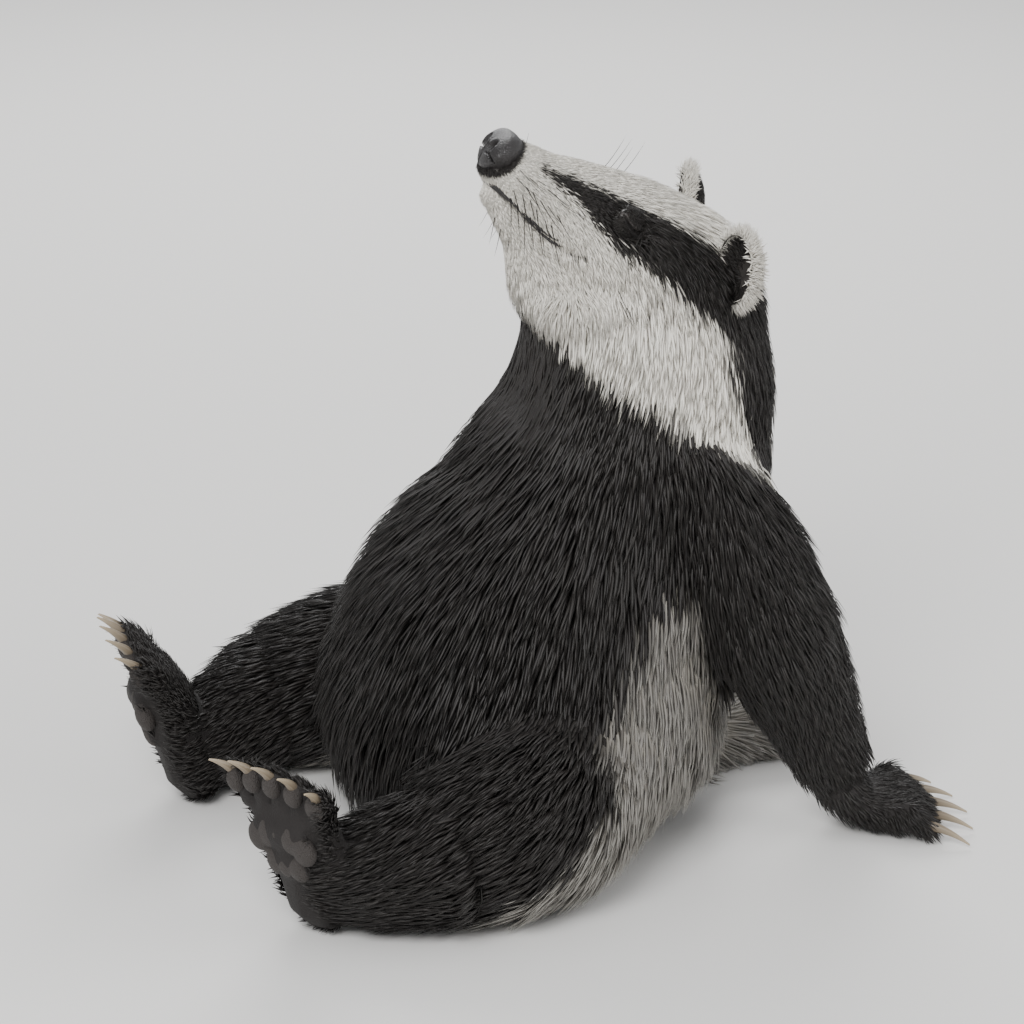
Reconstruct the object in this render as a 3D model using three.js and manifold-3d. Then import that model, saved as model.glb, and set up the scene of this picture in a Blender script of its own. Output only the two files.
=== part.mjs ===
// A European badger at life size, sitting back on its rump with its hind legs out in front, its forepaws
// set down behind it and its nose lifted. Millimetres, +Z up, the nose towards -X and the badger's left
// side towards -Y. The origin is on the floor, under the middle of the whole animal.
import * as THREE from "three";
import { mergeVertices } from "three/addons/utils/BufferGeometryUtils.js";
import Module from "manifold-3d";

const wasm = await Module();
wasm.setup();

// Driving sizes
const PART_GAP = 0.35; // the thin cut between one part of the body and the next
const FOOTPRINT_MIDDLE = [213.5, 0]; // the middle of the animal, measured from the left heel's place
const HEEL_SPREAD = 122; // from the middle line out to each hind heel
const NOSE_TO_EAR = 169; // from the tip of the nose to the ear's root
const HEAD_SIZE = 1.2; // the head of a big boar, against the sizes of its stations
const HEAD_PITCH = 38; // degrees that the nose is lifted
const HEAD_YAW = -12; // degrees that the nose turns to the badger's left
const HEAD_ROLL = 2; // degrees that the crown tips to the badger's left
const LOCK_ROOT_DEPTH = 7; // how deep the root of a lock of hair is sunk
const COAT_CORE = 9; // how far the trunk's core stays under the tips of its long coat
const TAIL_COAT_CORE = 7; // the same for the tail
const MOUTH_GAP = 0.9; // the line between the closed lips
const LEFT = -1;
const RIGHT = 1;
const SIDES = [
  ["left", LEFT],
  ["right", RIGHT],
];

const COLOURS = {
  grey_coat: [0.42, 0.41, 0.38],
  black_coat: [0.035, 0.032, 0.03],
  white_coat: [0.82, 0.79, 0.72],
  nose_leather: [0.05, 0.045, 0.045],
  claw_horn: [0.36, 0.3, 0.22],
  lid_skin: [0.04, 0.035, 0.03],
};

const vec = (x, y, z) => new THREE.Vector3(x, y, z);
const rad = THREE.MathUtils.degToRad;

// A seeded random draw, so that the coat comes out the same each time
function randomDraw(seed) {
  let state = seed;
  return () => {
    state = (state * 1664525 + 1013904223) % 4294967296;
    return state / 4294967296;
  };
}

// Solids

function solidOf(geometry) {
  const bare = geometry.index ? geometry.toNonIndexed() : geometry.clone();
  bare.deleteAttribute("normal");
  bare.deleteAttribute("uv");
  const merged = mergeVertices(bare, 1e-4);
  const made = new wasm.Manifold(
    new wasm.Mesh({
      numProp: 3,
      vertProperties: new Float32Array(merged.attributes.position.array),
      triVerts: new Uint32Array(merged.index.array),
    }),
  );
  if (made.volume() >= 0) return made;
  const turned = new Uint32Array(merged.index.array);
  for (let i = 0; i < turned.length; i += 3) {
    [turned[i + 1], turned[i + 2]] = [turned[i + 2], turned[i + 1]];
  }
  return new wasm.Manifold(
    new wasm.Mesh({
      numProp: 3,
      vertProperties: new Float32Array(merged.attributes.position.array),
      triVerts: turned,
    }),
  );
}

function geometryOf(solid) {
  const mesh = solid.getMesh();
  const geometry = new THREE.BufferGeometry();
  geometry.setAttribute("position", new THREE.BufferAttribute(mesh.vertProperties, mesh.numProp));
  geometry.setIndex(new THREE.BufferAttribute(mesh.triVerts, 1));
  geometry.computeVertexNormals();
  return geometry;
}

const joined = (solids) => solids.reduce((all, one) => all.add(one));
const cleared = (solid, others) => others.reduce((left, one) => left.subtract(one), solid);
const largest = (solid) =>
  solid.decompose().reduce((best, one) => (one.volume() > best.volume() ? one : best));

// A closed skin over rings of points, each end drawn to one point
function skinOver(rings, firstPoint, lastPoint) {
  const around = rings[0].length;
  const points = [firstPoint, ...rings.flat(), lastPoint];
  const last = points.length - 1;
  const faces = [];
  for (let k = 0; k < around; k += 1) {
    const next = (k + 1) % around;
    faces.push(0, 1 + next, 1 + k);
    for (let r = 0; r + 1 < rings.length; r += 1) {
      const a = 1 + r * around;
      const b = a + around;
      faces.push(a + k, a + next, b + next, a + k, b + next, b + k);
    }
    const end = 1 + (rings.length - 1) * around;
    faces.push(last, end + k, end + next);
  }
  const geometry = new THREE.BufferGeometry().setFromPoints(points);
  geometry.setIndex(faces);
  return solidOf(geometry);
}

// A rounded body form along a smooth line. Each station is [x, y, z, side, back, front]: a place on the
// line and how far the surface stands off it to the sides, to the back and to the front.
class Form {
  constructor(stations, { side = [0, 1, 0], power = 2, caps = [0.8, 0.8], place = null } = {}) {
    const centre = stations.map(([x, y, z]) => vec(x, y, z));
    this.line = new THREE.CatmullRomCurve3(centre, false, "centripetal");
    this.line.arcLengthDivisions = 400;
    const sizes = stations.map(([, , , a, b, c]) => vec(a, b ?? a, c ?? b ?? a));
    this.sizes = new THREE.CatmullRomCurve3(sizes, false, "centripetal");
    this.length = this.line.getLength();
    this.hint = vec(...side);
    this.power = power;
    this.caps = caps;
    this.place = place;
    this.count = stations.length - 1;
  }

  // The section at a distance along the line; past an end it shrinks as a round cap does
  section(along) {
    const kept = THREE.MathUtils.clamp(along, 0, this.length);
    const t = this.line.getUtoTmapping(kept / this.length);
    const centre = this.line.getPoint(t);
    const tangent = this.line.getTangent(t);
    const sideways = this.hint.clone().addScaledVector(tangent, -this.hint.dot(tangent)).normalize();
    const backwards = sideways.clone().cross(tangent).normalize();
    const segment = Math.min(Math.floor(t * this.count), this.count - 1);
    const share = t * this.count - segment;
    const from = this.sizes.points[segment];
    const to = this.sizes.points[segment + 1];
    const eased = share * share * (3 - 2 * share) * 0.35 + share * 0.65;
    const size = from.clone().lerp(to, eased);
    const over = along < 0 ? along : along - kept;
    if (over !== 0) {
      const cap = (along < 0 ? this.caps[0] : this.caps[1]) * Math.min(size.x, size.y);
      const drawn = Math.sqrt(Math.max(0, 1 - (over / cap) ** 2));
      centre.addScaledVector(tangent, over);
      size.multiplyScalar(drawn);
    }
    return { centre, tangent, sideways, backwards, size };
  }

  capLength(end) {
    const { size } = this.section(end === 0 ? 0 : this.length);
    return this.caps[end] * Math.min(size.x, size.y);
  }

  // The point of the surface at a turn (0 to one side, a quarter turn to the back) and distance along
  point(turn, along, out = 0) {
    const { centre, sideways, backwards, size } = this.section(along);
    const c = Math.cos(turn);
    const s = Math.sin(turn);
    const bend = 2 / this.power;
    const a = Math.sign(c) * Math.abs(c) ** bend * (size.x + out);
    const b = Math.sign(s) * Math.abs(s) ** bend * ((s > 0 ? size.y : size.z) + out);
    const found = centre.addScaledVector(sideways, a).addScaledVector(backwards, b);
    return this.place ? found.applyMatrix4(this.place) : found;
  }

  normal(turn, along) {
    const step = 0.02;
    const around = this.point(turn + step, along).sub(this.point(turn - step, along));
    const onward = this.point(turn, along + 1).sub(this.point(turn, along - 1));
    const { centre } = this.section(along);
    const middle = this.place ? centre.applyMatrix4(this.place) : centre;
    const found = around.cross(onward).normalize();
    const outward = this.point(turn, along).sub(middle);
    return found.dot(outward) < 0 ? found.negate() : found;
  }

  solid(around, steps, out = 0, capShares = [0.86, 0.5]) {
    const capStart = this.capLength(0);
    const capEnd = this.capLength(1);
    const alongs = [
      ...capShares.map((share) => -share * capStart),
      ...Array.from({ length: steps + 1 }, (_, i) => (i / steps) * this.length),
      ...capShares.toReversed().map((share) => this.length + share * capEnd),
    ];
    const rings = alongs.map((along) =>
      Array.from({ length: around }, (_, k) => this.point((k / around) * 2 * Math.PI, along, out)),
    );
    const tip = (along, extra) => {
      const { centre, tangent } = this.section(along);
      const found = centre.addScaledVector(tangent, extra);
      return this.place ? found.applyMatrix4(this.place) : found;
    };
    return skinOver(rings, tip(-capStart, -out), tip(this.length + capEnd, out));
  }
}

// A squashed ball with its own axes
function ball(centre, radii, turn = null, detail = [14, 10]) {
  const geometry = new THREE.SphereGeometry(1, detail[0], detail[1]);
  const place = new THREE.Matrix4().compose(
    vec(...centre),
    new THREE.Quaternion().setFromEuler(new THREE.Euler(...(turn ?? [0, 0, 0]))),
    vec(...radii),
  );
  return solidOf(geometry.applyMatrix4(place));
}

function block(centre, size, turn = null) {
  const geometry = new THREE.BoxGeometry(...size);
  const place = new THREE.Matrix4().compose(
    vec(...centre),
    new THREE.Quaternion().setFromEuler(new THREE.Euler(...(turn ?? [0, 0, 0]))),
    vec(1, 1, 1),
  );
  return solidOf(geometry.applyMatrix4(place));
}

const FLOOR_BLOCK = block([200, 0, -200], [1400, 1200, 400]);
const onFloor = (solid) => solid.subtract(FLOOR_BLOCK);

// Trunk and neck: one form from the seat to the back of the head, parted by level-ish cuts
const trunkForm = new Form(
  [
    [220, 0, 22, 128, 124, 118],
    [214, 0, 62, 150, 144, 150],
    [214, 0, 112, 154, 142, 154],
    [226, 0, 168, 146, 130, 130],
    [256, 0, 228, 122, 115, 100],
    [291, 0, 286, 104, 114, 91],
    [313, 0, 334, 98, 90, 110],
    [326, 0, 368, 94, 74, 122],
    [334, 0, 396, 86, 60, 108],
  ],
  { caps: [0.35, 0.7] },
);
const WAIST_HEIGHT = 176;
const NECK_HEIGHT = 318;
const NECK_TILT = 12; // degrees that the cut at the root of the neck falls towards the chest

function trunkSolid(out) {
  return onFloor(trunkForm.solid(24, 12, out));
}

function levelCut(solid, height, tilt, above) {
  const normal = vec(Math.sin(rad(tilt)), 0, Math.cos(rad(tilt)));
  const offset = normal.dot(vec(280, 0, height));
  const sign = above ? 1 : -1;
  const kept = normal.clone().multiplyScalar(sign);
  return solid.trimByPlane([kept.x, kept.y, kept.z], sign * offset + PART_GAP / 2);
}

// Head: forward is from the neck to the nose, side is to the badger's right, up is to the crown
const HEAD_PIVOT = [337, 0, 386];
const headPlace = new THREE.Matrix4()
  .makeTranslation(...HEAD_PIVOT)
  .multiply(new THREE.Matrix4().makeRotationZ(rad(HEAD_YAW)))
  .multiply(new THREE.Matrix4().makeRotationY(rad(HEAD_PITCH)))
  .multiply(new THREE.Matrix4().makeRotationX(rad(HEAD_ROLL)))
  .multiply(new THREE.Matrix4().makeScale(-HEAD_SIZE, HEAD_SIZE, HEAD_SIZE));
const MUZZLE_TIP = NOSE_TO_EAR / HEAD_SIZE + 18; // from the pivot to the tip of the nose
const headPoint = (back, side, up) => vec(MUZZLE_TIP - back, side, up).applyMatrix4(headPlace);

// Stations measured back from the tip of the nose: [back, side, up, down, level]
const HEAD_STATIONS = [
  [10, 16, 13, 14, 0],
  [24, 21, 18, 18, 0],
  [42, 26, 22, 21, 0],
  [60, 33, 29, 25, 0],
  [78, 44, 35, 37, 0],
  [97, 57, 41, 51, 0],
  [118, 66, 45, 61, 0],
  [140, 70, 47, 66, 0],
  [164, 70, 47, 66, 0],
];
const JAW_STATIONS = [
  [21, 9, 7, 6, -19],
  [32, 14.5, 9, 10, -21],
  [48, 20, 11, 14, -24],
  [64, 27, 15, 22, -28],
  [82, 38, 22, 31, -33],
  [102, 49, 26, 38, -39],
  [122, 56, 28, 42, -44],
];

function headForm(stations, caps) {
  const placed = stations.map(([back, side, up, down, level]) => [
    MUZZLE_TIP - back,
    0,
    level,
    side,
    up,
    down,
  ]);
  return new Form(placed, { caps, place: headPlace, power: 2.15 });
}

const skullForm = headForm(HEAD_STATIONS, [0.5, 0.6]);
const jawForm = headForm(JAW_STATIONS, [0.7, 0.6]);

const headBall = (back, side, up, radii, turn = null, detail = undefined) => {
  const local = ball([MUZZLE_TIP - back, side, up], radii, turn, detail);
  return local.transform(headPlace.toArray());
};
const headBlock = (back, side, up, size, turn = null) =>
  block([MUZZLE_TIP - back, side, up], size, turn).transform(headPlace.toArray());

// A thin rounded cord of flesh or a groove through points given in the head's own sizes
function headCord(points, radius, around = 4, steps = 7, capShares = [0.7]) {
  const stations = points.map(([back, side, up, scale = 1]) => [
    MUZZLE_TIP - back,
    side,
    up,
    radius * scale,
    radius * scale,
    radius * scale,
  ]);
  const cord = new Form(stations, { side: [0, 0, 1], place: headPlace, caps: [0.9, 0.9] });
  return cord.solid(around, steps, 0, capShares);
}

// The line where the lips meet, from under the nose to the corner of the mouth, which turns up
const MOUTH_LINE = [
  [17, 11, -13],
  [28, 17, -15.5],
  [42, 20.5, -17.5],
  [56, 25, -18.5],
  [67, 31, -16],
  [75, 35.5, -10.5],
];

function lipRidge(sign, drop, radius) {
  const points = MOUTH_LINE.map(([back, side, up], i) => [
    back,
    sign * (side + 0.4),
    up + drop,
    i === 0 || i === MOUTH_LINE.length - 1 ? 0.7 : 1,
  ]);
  return headCord(points, radius);
}

const NOSE_PAD = { side: 17, up: 14, down: 12.5 };
function noseSolid() {
  const pad = headForm(
    [
      [4, NOSE_PAD.side - 4.5, NOSE_PAD.up - 5, NOSE_PAD.down - 3.5, 1],
      [10, NOSE_PAD.side, NOSE_PAD.up - 1, NOSE_PAD.down, 1],
      [17, NOSE_PAD.side + 0.5, NOSE_PAD.up + 1.5, NOSE_PAD.down - 1, 1],
    ],
    [0.35, 0.35],
  ).solid(12, 2, 0, [0.7]);
  const cuts = [LEFT, RIGHT].flatMap((sign) => [
    headBall(2, sign * 6.8, 3.2, [8, 3.6, 4.4], [0, 0, 0], [8, 5]),
    headBall(5, sign * 11.5, -1.6, [9, 4.5, 1.1], [sign * 0.5, 0, 0], [6, 4]),
  ]);
  const philtrum = headBlock(0, 0, -8, [10, 0.9, 12]);
  return cleared(pad, [...cuts, philtrum]);
}

// Closed eye: a low swelling under two lids that meet in a curved slit
const EYE = { back: 88, side: 42.5, up: 19, long: 10, deep: 6.5, high: 7 };
const eyeTurn = (sign) => [sign * 0.25, 0, sign * 0.42];
const eyeBall = (sign, out) =>
  headBall(
    EYE.back,
    sign * EYE.side,
    EYE.up,
    [EYE.long + out, EYE.deep + out, EYE.high + out],
    eyeTurn(sign),
    [10, 7],
  );

function eyeSolid(sign) {
  const slit = [-10, -5, 0, 5, 10].map((step) => [
    EYE.back + step,
    sign * (EYE.side + 5.6 - 0.035 * step * step + 0.44 * step),
    EYE.up - 2.6 + 0.028 * step * step,
  ]);
  return eyeBall(sign, 0).subtract(headCord(slit, 0.9, 4, 6, [0.7]));
}

// Ears: a short round cup, open to the front and out, with a fringe of hair round its rear edge
const EAR = { back: NOSE_TO_EAR / HEAD_SIZE + 6, side: 60, up: 30, wide: 19, tall: 22, thick: 10, rim: 5.5 };
function earSolid(sign, seed) {
  const turn = [sign * -0.62, 0.32, sign * 0.5];
  const outer = headBall(EAR.back, sign * EAR.side, EAR.up, [EAR.thick, EAR.wide, EAR.tall], turn, [11, 7]);
  const cup = headBall(
    EAR.back - 9,
    sign * (EAR.side + 1.5),
    EAR.up + 5,
    [EAR.thick, EAR.wide - EAR.rim, EAR.tall - EAR.rim],
    turn,
    [9, 6],
  );
  const draw = randomDraw(seed);
  const place = headPlace
    .clone()
    .multiply(
      new THREE.Matrix4().compose(
        vec(MUZZLE_TIP - EAR.back, sign * EAR.side, EAR.up),
        new THREE.Quaternion().setFromEuler(new THREE.Euler(...turn)),
        vec(1, 1, 1),
      ),
    );
  const fringe = Array.from({ length: 6 }, (_, i) => {
    const turnAt = rad(-30 + i * 32 + 8 * draw()) * sign;
    const reach = 9 + 4 * draw();
    const away = vec(0, Math.sin(turnAt), Math.cos(turnAt));
    const rim = vec(-3, away.y * (EAR.wide - 4), away.z * (EAR.tall - 4));
    const path = [0, 0.5, 1].map((share) =>
      rim
        .clone()
        .addScaledVector(away, share * reach)
        .add(vec(-3.5 * share, 0, 0))
        .applyMatrix4(place),
    );
    const across = vec(0, away.z, -away.y).transformDirection(place);
    return lockAlong(path, across, [12, 9, 0], [3.4, 2.4, 0]);
  });
  return joined([outer.subtract(cup), ...fringe]);
}

// A flat, tapered lock of hair along a path: a shallow ridge on top and edges half a millimetre thick
function lockAlong(path, across, widths, thicks, out = 0) {
  const edge = 0.6;
  const rings = path.slice(0, -1).map((centre, i) => {
    const onward = path[i + 1].clone().sub(path[Math.max(i - 1, 0)]).normalize();
    const sideways = across.clone().addScaledVector(onward, -across.dot(onward)).normalize();
    const up = sideways.clone().cross(onward).normalize();
    const half = widths[i] / 2 + out;
    const thick = thicks[i];
    const corner = (a, b) => centre.clone().addScaledVector(sideways, a).addScaledVector(up, b);
    return [
      corner(-half, -edge / 2 - out),
      corner(half, -edge / 2 - out),
      corner(half, edge / 2 + out),
      corner(0, thick + out),
      corner(-half, edge / 2 + out),
    ];
  });
  const first = path[0].clone();
  const last = path[path.length - 1].clone();
  const onward = last.clone().sub(path[path.length - 2]).normalize();
  return skinOver(rings, first, last.addScaledVector(onward, out));
}

// Forelegs: from the shoulder down and back to paws laid flat behind the rump
const ARM_POINTS = {
  shoulder: [298, 66, 282],
  elbow: [349, 122, 160],
  wrist: [400, 124, 50],
};
function armForm(sign) {
  const { shoulder, elbow, wrist } = ARM_POINTS;
  const between = (a, b, share) => a.map((value, i) => value + (b[i] - value) * share);
  const at = (point, ...sizes) => [point[0], sign * point[1], point[2], ...sizes];
  const upper = new Form([
    at(shoulder, 50, 56, 56),
    at(between(shoulder, elbow, 0.5), 50, 56, 56),
    at(elbow, 43, 48, 54),
  ]);
  const lower = new Form(
    [
      at(elbow, 42, 47, 53),
      at(between(elbow, wrist, 0.5), 37, 37, 45),
      at(wrist, 31, 29, 33),
    ],
    { caps: [0.5, 0.5] },
  );
  return { upper, lower };
}

const TOE_COUNT = 5;
const PAW_TURN = 16; // degrees that each forepaw points out from straight back
const PALM = [424, 128, 17];
const PAW_SIZE = 1.08; // and its forepaws
const FORE_TOES = { spread: rad(56), widest: 54 };

// Toes fan from the end of a palm or sole, the middle ones the longest
function fan(count, spread, widest) {
  return Array.from({ length: count }, (_, i) => {
    const share = i / (count - 1) - 0.5;
    return { angle: share * spread, offset: share * widest, long: 1 - 0.9 * share ** 2 };
  });
}

function pawPlace(sign) {
  return new THREE.Matrix4()
    .makeTranslation(PALM[0], sign * PALM[1], PALM[2])
    .multiply(new THREE.Matrix4().makeRotationZ(rad(sign * PAW_TURN)))
    .multiply(new THREE.Matrix4().makeScale(PAW_SIZE, PAW_SIZE, PAW_SIZE));
}

function pawParts(sign, out) {
  const place = pawPlace(sign);
  const wrist = vec(ARM_POINTS.wrist[0], sign * ARM_POINTS.wrist[1], ARM_POINTS.wrist[2] - 8);
  const local = wrist.applyMatrix4(place.clone().invert());
  const palm = new Form(
    [
      [local.x, local.y, local.z, 26, 20, 20],
      [-6, 0, 4, 31, 17, 18],
      [17, 0, 0, 35, 14, 15],
    ],
    { place, caps: [0.6, 0.7] },
  ).solid(12, 3, out, [0.75]);
  const toes = fan(TOE_COUNT, FORE_TOES.spread, FORE_TOES.widest).map(({ angle, offset, long }) => {
    const root = vec(14, offset, -1);
    const tip = root.clone().add(vec(Math.cos(angle), Math.sin(angle), 0).multiplyScalar(25 * long + 6));
    const middle = root.clone().lerp(tip, 0.55).add(vec(0, 0, 3));
    return new Form(
      [
        [root.x, root.y, root.z, 8.5, 10, 14],
        [middle.x, middle.y, middle.z, 8.3, 9.5, 14],
        [tip.x, tip.y, tip.z - 4, 7, 7, 9],
      ],
      { place, caps: [0.5, 0.8] },
    ).solid(6, 2, out, [0.75]);
  });
  return [palm, ...toes];
}

// A claw: a curved horn that tapers from its root to a blunt point, in the frame of its foot
function clawForm(root, heading, down, length, size, place) {
  const steps = [0, 0.35, 0.7, 1];
  const stations = steps.map((share) => {
    const centre = root
      .clone()
      .addScaledVector(heading, length * share)
      .addScaledVector(down, length * 0.3 * share * share);
    const width = size * (1 - 0.82 * share);
    return [centre.x, centre.y, centre.z, width * 0.72, width, width * 0.9];
  });
  const side = heading.clone().cross(down).normalize();
  return new Form(stations, { side: [side.x, side.y, side.z], place, caps: [0.5, 0.9] });
}

function foreClaws(sign, out = 0) {
  const place = pawPlace(sign);
  return fan(TOE_COUNT, FORE_TOES.spread, FORE_TOES.widest).map(({ angle, offset, long }) => {
    const heading = vec(Math.cos(angle), Math.sin(angle), 0);
    const root = vec(14, offset, -1).addScaledVector(heading, 25 * long + 4);
    root.z -= 2;
    return clawForm(root, heading, vec(0, 0, -1), 32, 4.8, place).solid(5, 2, out, [0.6]);
  });
}

// Hind legs: thigh and knee spread on the floor, the foot upright on its heel, its sole turned forward
function legForms(sign) {
  const thigh = new Form(
    [
      [244, sign * 80, 84, 66, 66, 66],
      [182, sign * 122, 74, 74, 74, 74],
      [124, sign * 152, 64, 70, 66, 66],
      [86, sign * 157, 58, 62, 59, 59],
    ],
    { caps: [0.6, 0.5] },
  );
  const shank = new Form(
    [
      [90, sign * 157, 58, 61, 58, 58],
      [50, sign * 148, 50, 52, 50, 50],
      [16, sign * 132, 43, 41, 41, 41],
      [2, sign * 125, 40, 35, 35, 36],
    ],
    { caps: [0.5, 0.45] },
  );
  return { thigh, shank };
}

const FOOT_TURN = { left: 24, right: -12 }; // degrees that each sole turns to the badger's left
const FOOT_SIZE = 1.16; // the hind feet of a big boar, against the sizes below
const FOOT_LEAN = 18; // degrees that the toes lean forward of the heel
function footPlace(name, sign) {
  return new THREE.Matrix4()
    .makeTranslation(2, sign * HEEL_SPREAD, 0)
    .multiply(new THREE.Matrix4().makeRotationZ(rad(FOOT_TURN[name])))
    .multiply(new THREE.Matrix4().makeRotationY(rad(-FOOT_LEAN)))
    .multiply(new THREE.Matrix4().makeScale(FOOT_SIZE, FOOT_SIZE, FOOT_SIZE));
}

const HIND_TOE = { spread: rad(36), widest: 53, root: [-3, 93], length: 27 };
function footParts(name, sign, out) {
  const place = footPlace(name, sign);
  const sole = new Form(
    [
      [2, 0, 22, 27, 26, 22],
      [0, 0, 52, 28, 24, 19],
      [-2, 0, 78, 32, 20, 17],
      [-3, 0, 94, 34, 16, 15],
    ],
    { place, caps: [0.8, 0.6] },
  ).solid(12, 3, out, [0.75]);
  const toes = fan(TOE_COUNT, HIND_TOE.spread, HIND_TOE.widest).map(({ angle, offset, long }) => {
    const [x, z] = HIND_TOE.root;
    const heading = vec(-0.16, Math.sin(angle), Math.cos(angle));
    const root = vec(x, offset, z);
    const tip = root.clone().addScaledVector(heading, HIND_TOE.length * long);
    const middle = root.clone().lerp(tip, 0.55).add(vec(2, 0, 0));
    return new Form(
      [
        [root.x, root.y, root.z, 8.5, 12, 13],
        [middle.x, middle.y, middle.z, 8.6, 10, 12],
        [tip.x, tip.y, tip.z, 7, 7, 9],
      ],
      { place, caps: [0.5, 0.8] },
    ).solid(6, 2, out, [0.75]);
  });
  const pads = [
    ball([-17, 0, 82], [6 + out, 26 + out, 13 + out], null, [8, 4]),
    ball([-18, 0, 60], [5 + out, 21 + out, 12 + out], null, [8, 4]),
  ].map((pad) => pad.transform(place.toArray()));
  return [sole, ...toes, ...pads];
}

function hindClaws(name, sign, out = 0) {
  const place = footPlace(name, sign);
  return fan(TOE_COUNT, HIND_TOE.spread, HIND_TOE.widest).map(({ angle, offset, long }) => {
    const [x, z] = HIND_TOE.root;
    const heading = vec(-0.3, Math.sin(angle), Math.cos(angle)).normalize();
    const root = vec(x, offset, z).addScaledVector(heading, HIND_TOE.length * long + 2);
    return clawForm(root, heading, vec(-1, 0, -0.2), 19, 4.2, place).solid(5, 2, out, [0.6]);
  });
}

// Tail: short, laid on the floor straight behind, its tip bent a little to the badger's right
const tailForm = new Form(
  [
    [330, 2, 46, 30, 32, 32],
    [366, 6, 36, 28, 31, 31],
    [402, 14, 29, 25, 27, 28],
    [434, 26, 24, 21, 23, 24],
    [458, 40, 20, 13, 15, 19],
  ],
  { side: [0, 0, 1], caps: [0.6, 1.1] },
);

// Coat: flat tapered locks of guard hair, each rooted in a form and laid along it
const LOCK_SHARES = [0, 0.35, 0.7, 1];
const LOCK_WIDTHS = [0.8, 1, 0.74, 0];
const LOCK_THICKS = [0.8, 1, 0.62, 0];

function lockOn({ form, turn, along, run, width, thick, core, lift, sway }, out) {
  const deep = core + LOCK_ROOT_DEPTH;
  const path = LOCK_SHARES.map((share) => {
    const height = -deep + (deep + lift) * (1 - (1 - share) ** 1.8);
    return form.point(turn + sway * share * share, along + run * share, height);
  });
  const across = form.point(turn + 0.05, along).sub(form.point(turn - 0.05, along)).normalize();
  const onward = path[1].clone().sub(path[0]);
  if (across.clone().cross(onward).dot(form.normal(turn, along)) < 0) across.negate();
  const widths = LOCK_WIDTHS.map((share) => share * width);
  const thicks = LOCK_THICKS.map((share) => share * thick);
  return lockAlong(path, across, widths, thicks, out);
}

// Rows of locks over a form. Each row is set between the locks of the one before
function lockRows(form, { from, to, step, spacing, run, core, lift, thick, turns, seed }) {
  const draw = randomDraw(seed);
  const count = Math.round(Math.abs(to - from) / step);
  const rows = Array.from({ length: count + 1 }, (_, row) => from + ((to - from) * row) / count);
  return rows.flatMap((rowAlong, row) => {
    const { size } = form.section(rowAlong);
    const reach = turns[1] - turns[0];
    const across = Math.max(1, Math.round(((2 * size.x + size.y + size.z) * reach) / 4 / spacing));
    return Array.from({ length: across }, (_, i) => ({
      form,
      turn: turns[0] + (reach * (i + 0.25 + 0.5 * (row % 2) + 0.3 * (draw() - 0.5))) / across,
      along: rowAlong + 0.3 * step * (draw() - 0.5),
      run: run * (0.85 + 0.3 * draw()),
      width: spacing * (0.78 + 0.24 * draw()),
      thick: thick * (0.85 + 0.3 * draw()),
      core,
      lift: lift + 2.5 * draw(),
      sway: 0.16 * (draw() - 0.5),
    }));
  });
}

const FULL_TURN = [0, 2 * Math.PI];
const TRUNK_COAT = {
  from: 62,
  to: trunkForm.length - 12,
  step: 55,
  spacing: 60,
  run: -76,
  core: COAT_CORE,
  lift: 1,
  thick: 6.5,
  turns: FULL_TURN,
  seed: 5,
};
const TAIL_COAT = {
  from: 56,
  to: 118,
  step: 31,
  spacing: 48,
  run: 44,
  core: TAIL_COAT_CORE,
  lift: 1,
  thick: 5,
  turns: FULL_TURN,
  seed: 8,
};

// Which node of the trunk a lock is rooted in, with the root kept a little above that node's lower cut
const ROOT_MARGIN = 12;
function trunkNode(lock) {
  const root = lock.form.point(lock.turn, lock.along);
  const neckCut = NECK_HEIGHT - (root.x - 280) * Math.tan(rad(NECK_TILT));
  const levels = [
    ["neck", neckCut],
    ["upper_torso", WAIST_HEIGHT],
  ];
  for (const [name, level] of levels) {
    if (root.z > level) {
      const short = Math.max(0, level + ROOT_MARGIN - root.z);
      return [name, { ...lock, along: lock.along + short, run: lock.run - short }];
    }
  }
  return ["lower_torso", { ...lock, run: Math.max(lock.run, 3 - lock.along) }];
}

// Cores
const NO_GROWTH = 0;
function cores(grow) {
  const trunk = trunkSolid(grow - COAT_CORE);
  const head = skullForm.solid(20, 10, grow, [0.75]);
  const parts = {
    lower_torso: levelCut(trunk, WAIST_HEIGHT, 0, false),
    upper_torso: levelCut(levelCut(trunk, WAIST_HEIGHT, 0, true), NECK_HEIGHT, NECK_TILT, false),
    neck: levelCut(trunk, NECK_HEIGHT, NECK_TILT, true),
    head,
    jaw: jawForm.solid(14, 7, grow),
    tail: onFloor(tailForm.solid(9, 5, grow - TAIL_COAT_CORE, [0.75])),
  };
  SIDES.forEach(([name, sign]) => {
    const { upper, lower } = armForm(sign);
    const { thigh, shank } = legForms(sign);
    parts[`upper_arm_${name}`] = upper.solid(14, 5, grow, [0.75]);
    parts[`forearm_${name}`] = lower.solid(12, 3, grow, [0.75]);
    parts[`forepaw_${name}`] = onFloor(joined(pawParts(sign, grow)));
    parts[`thigh_${name}`] = onFloor(thigh.solid(16, 6, grow, [0.75]));
    parts[`shank_${name}`] = onFloor(shank.solid(14, 3, grow, [0.75]));
    parts[`hind_foot_${name}`] = onFloor(joined(footParts(name, sign, grow)));
    parts[`ear_${name}`] = earSolid(sign, 11 + sign);
    parts[`eye_${name}`] = eyeSolid(sign);
  });
  return parts;
}

const plain = cores(NO_GROWTH);
const grown = cores(PART_GAP);

// Locks are laid clear of the other parts. One that hardly stands free, or has lost its root, is left out
const LEAST_ROOT = 120; // cubic millimetres of a lock that lie in the part that it grows from
const LEAST_SHARE = 0.5; // of a lock that is left after it is cut clear

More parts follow.
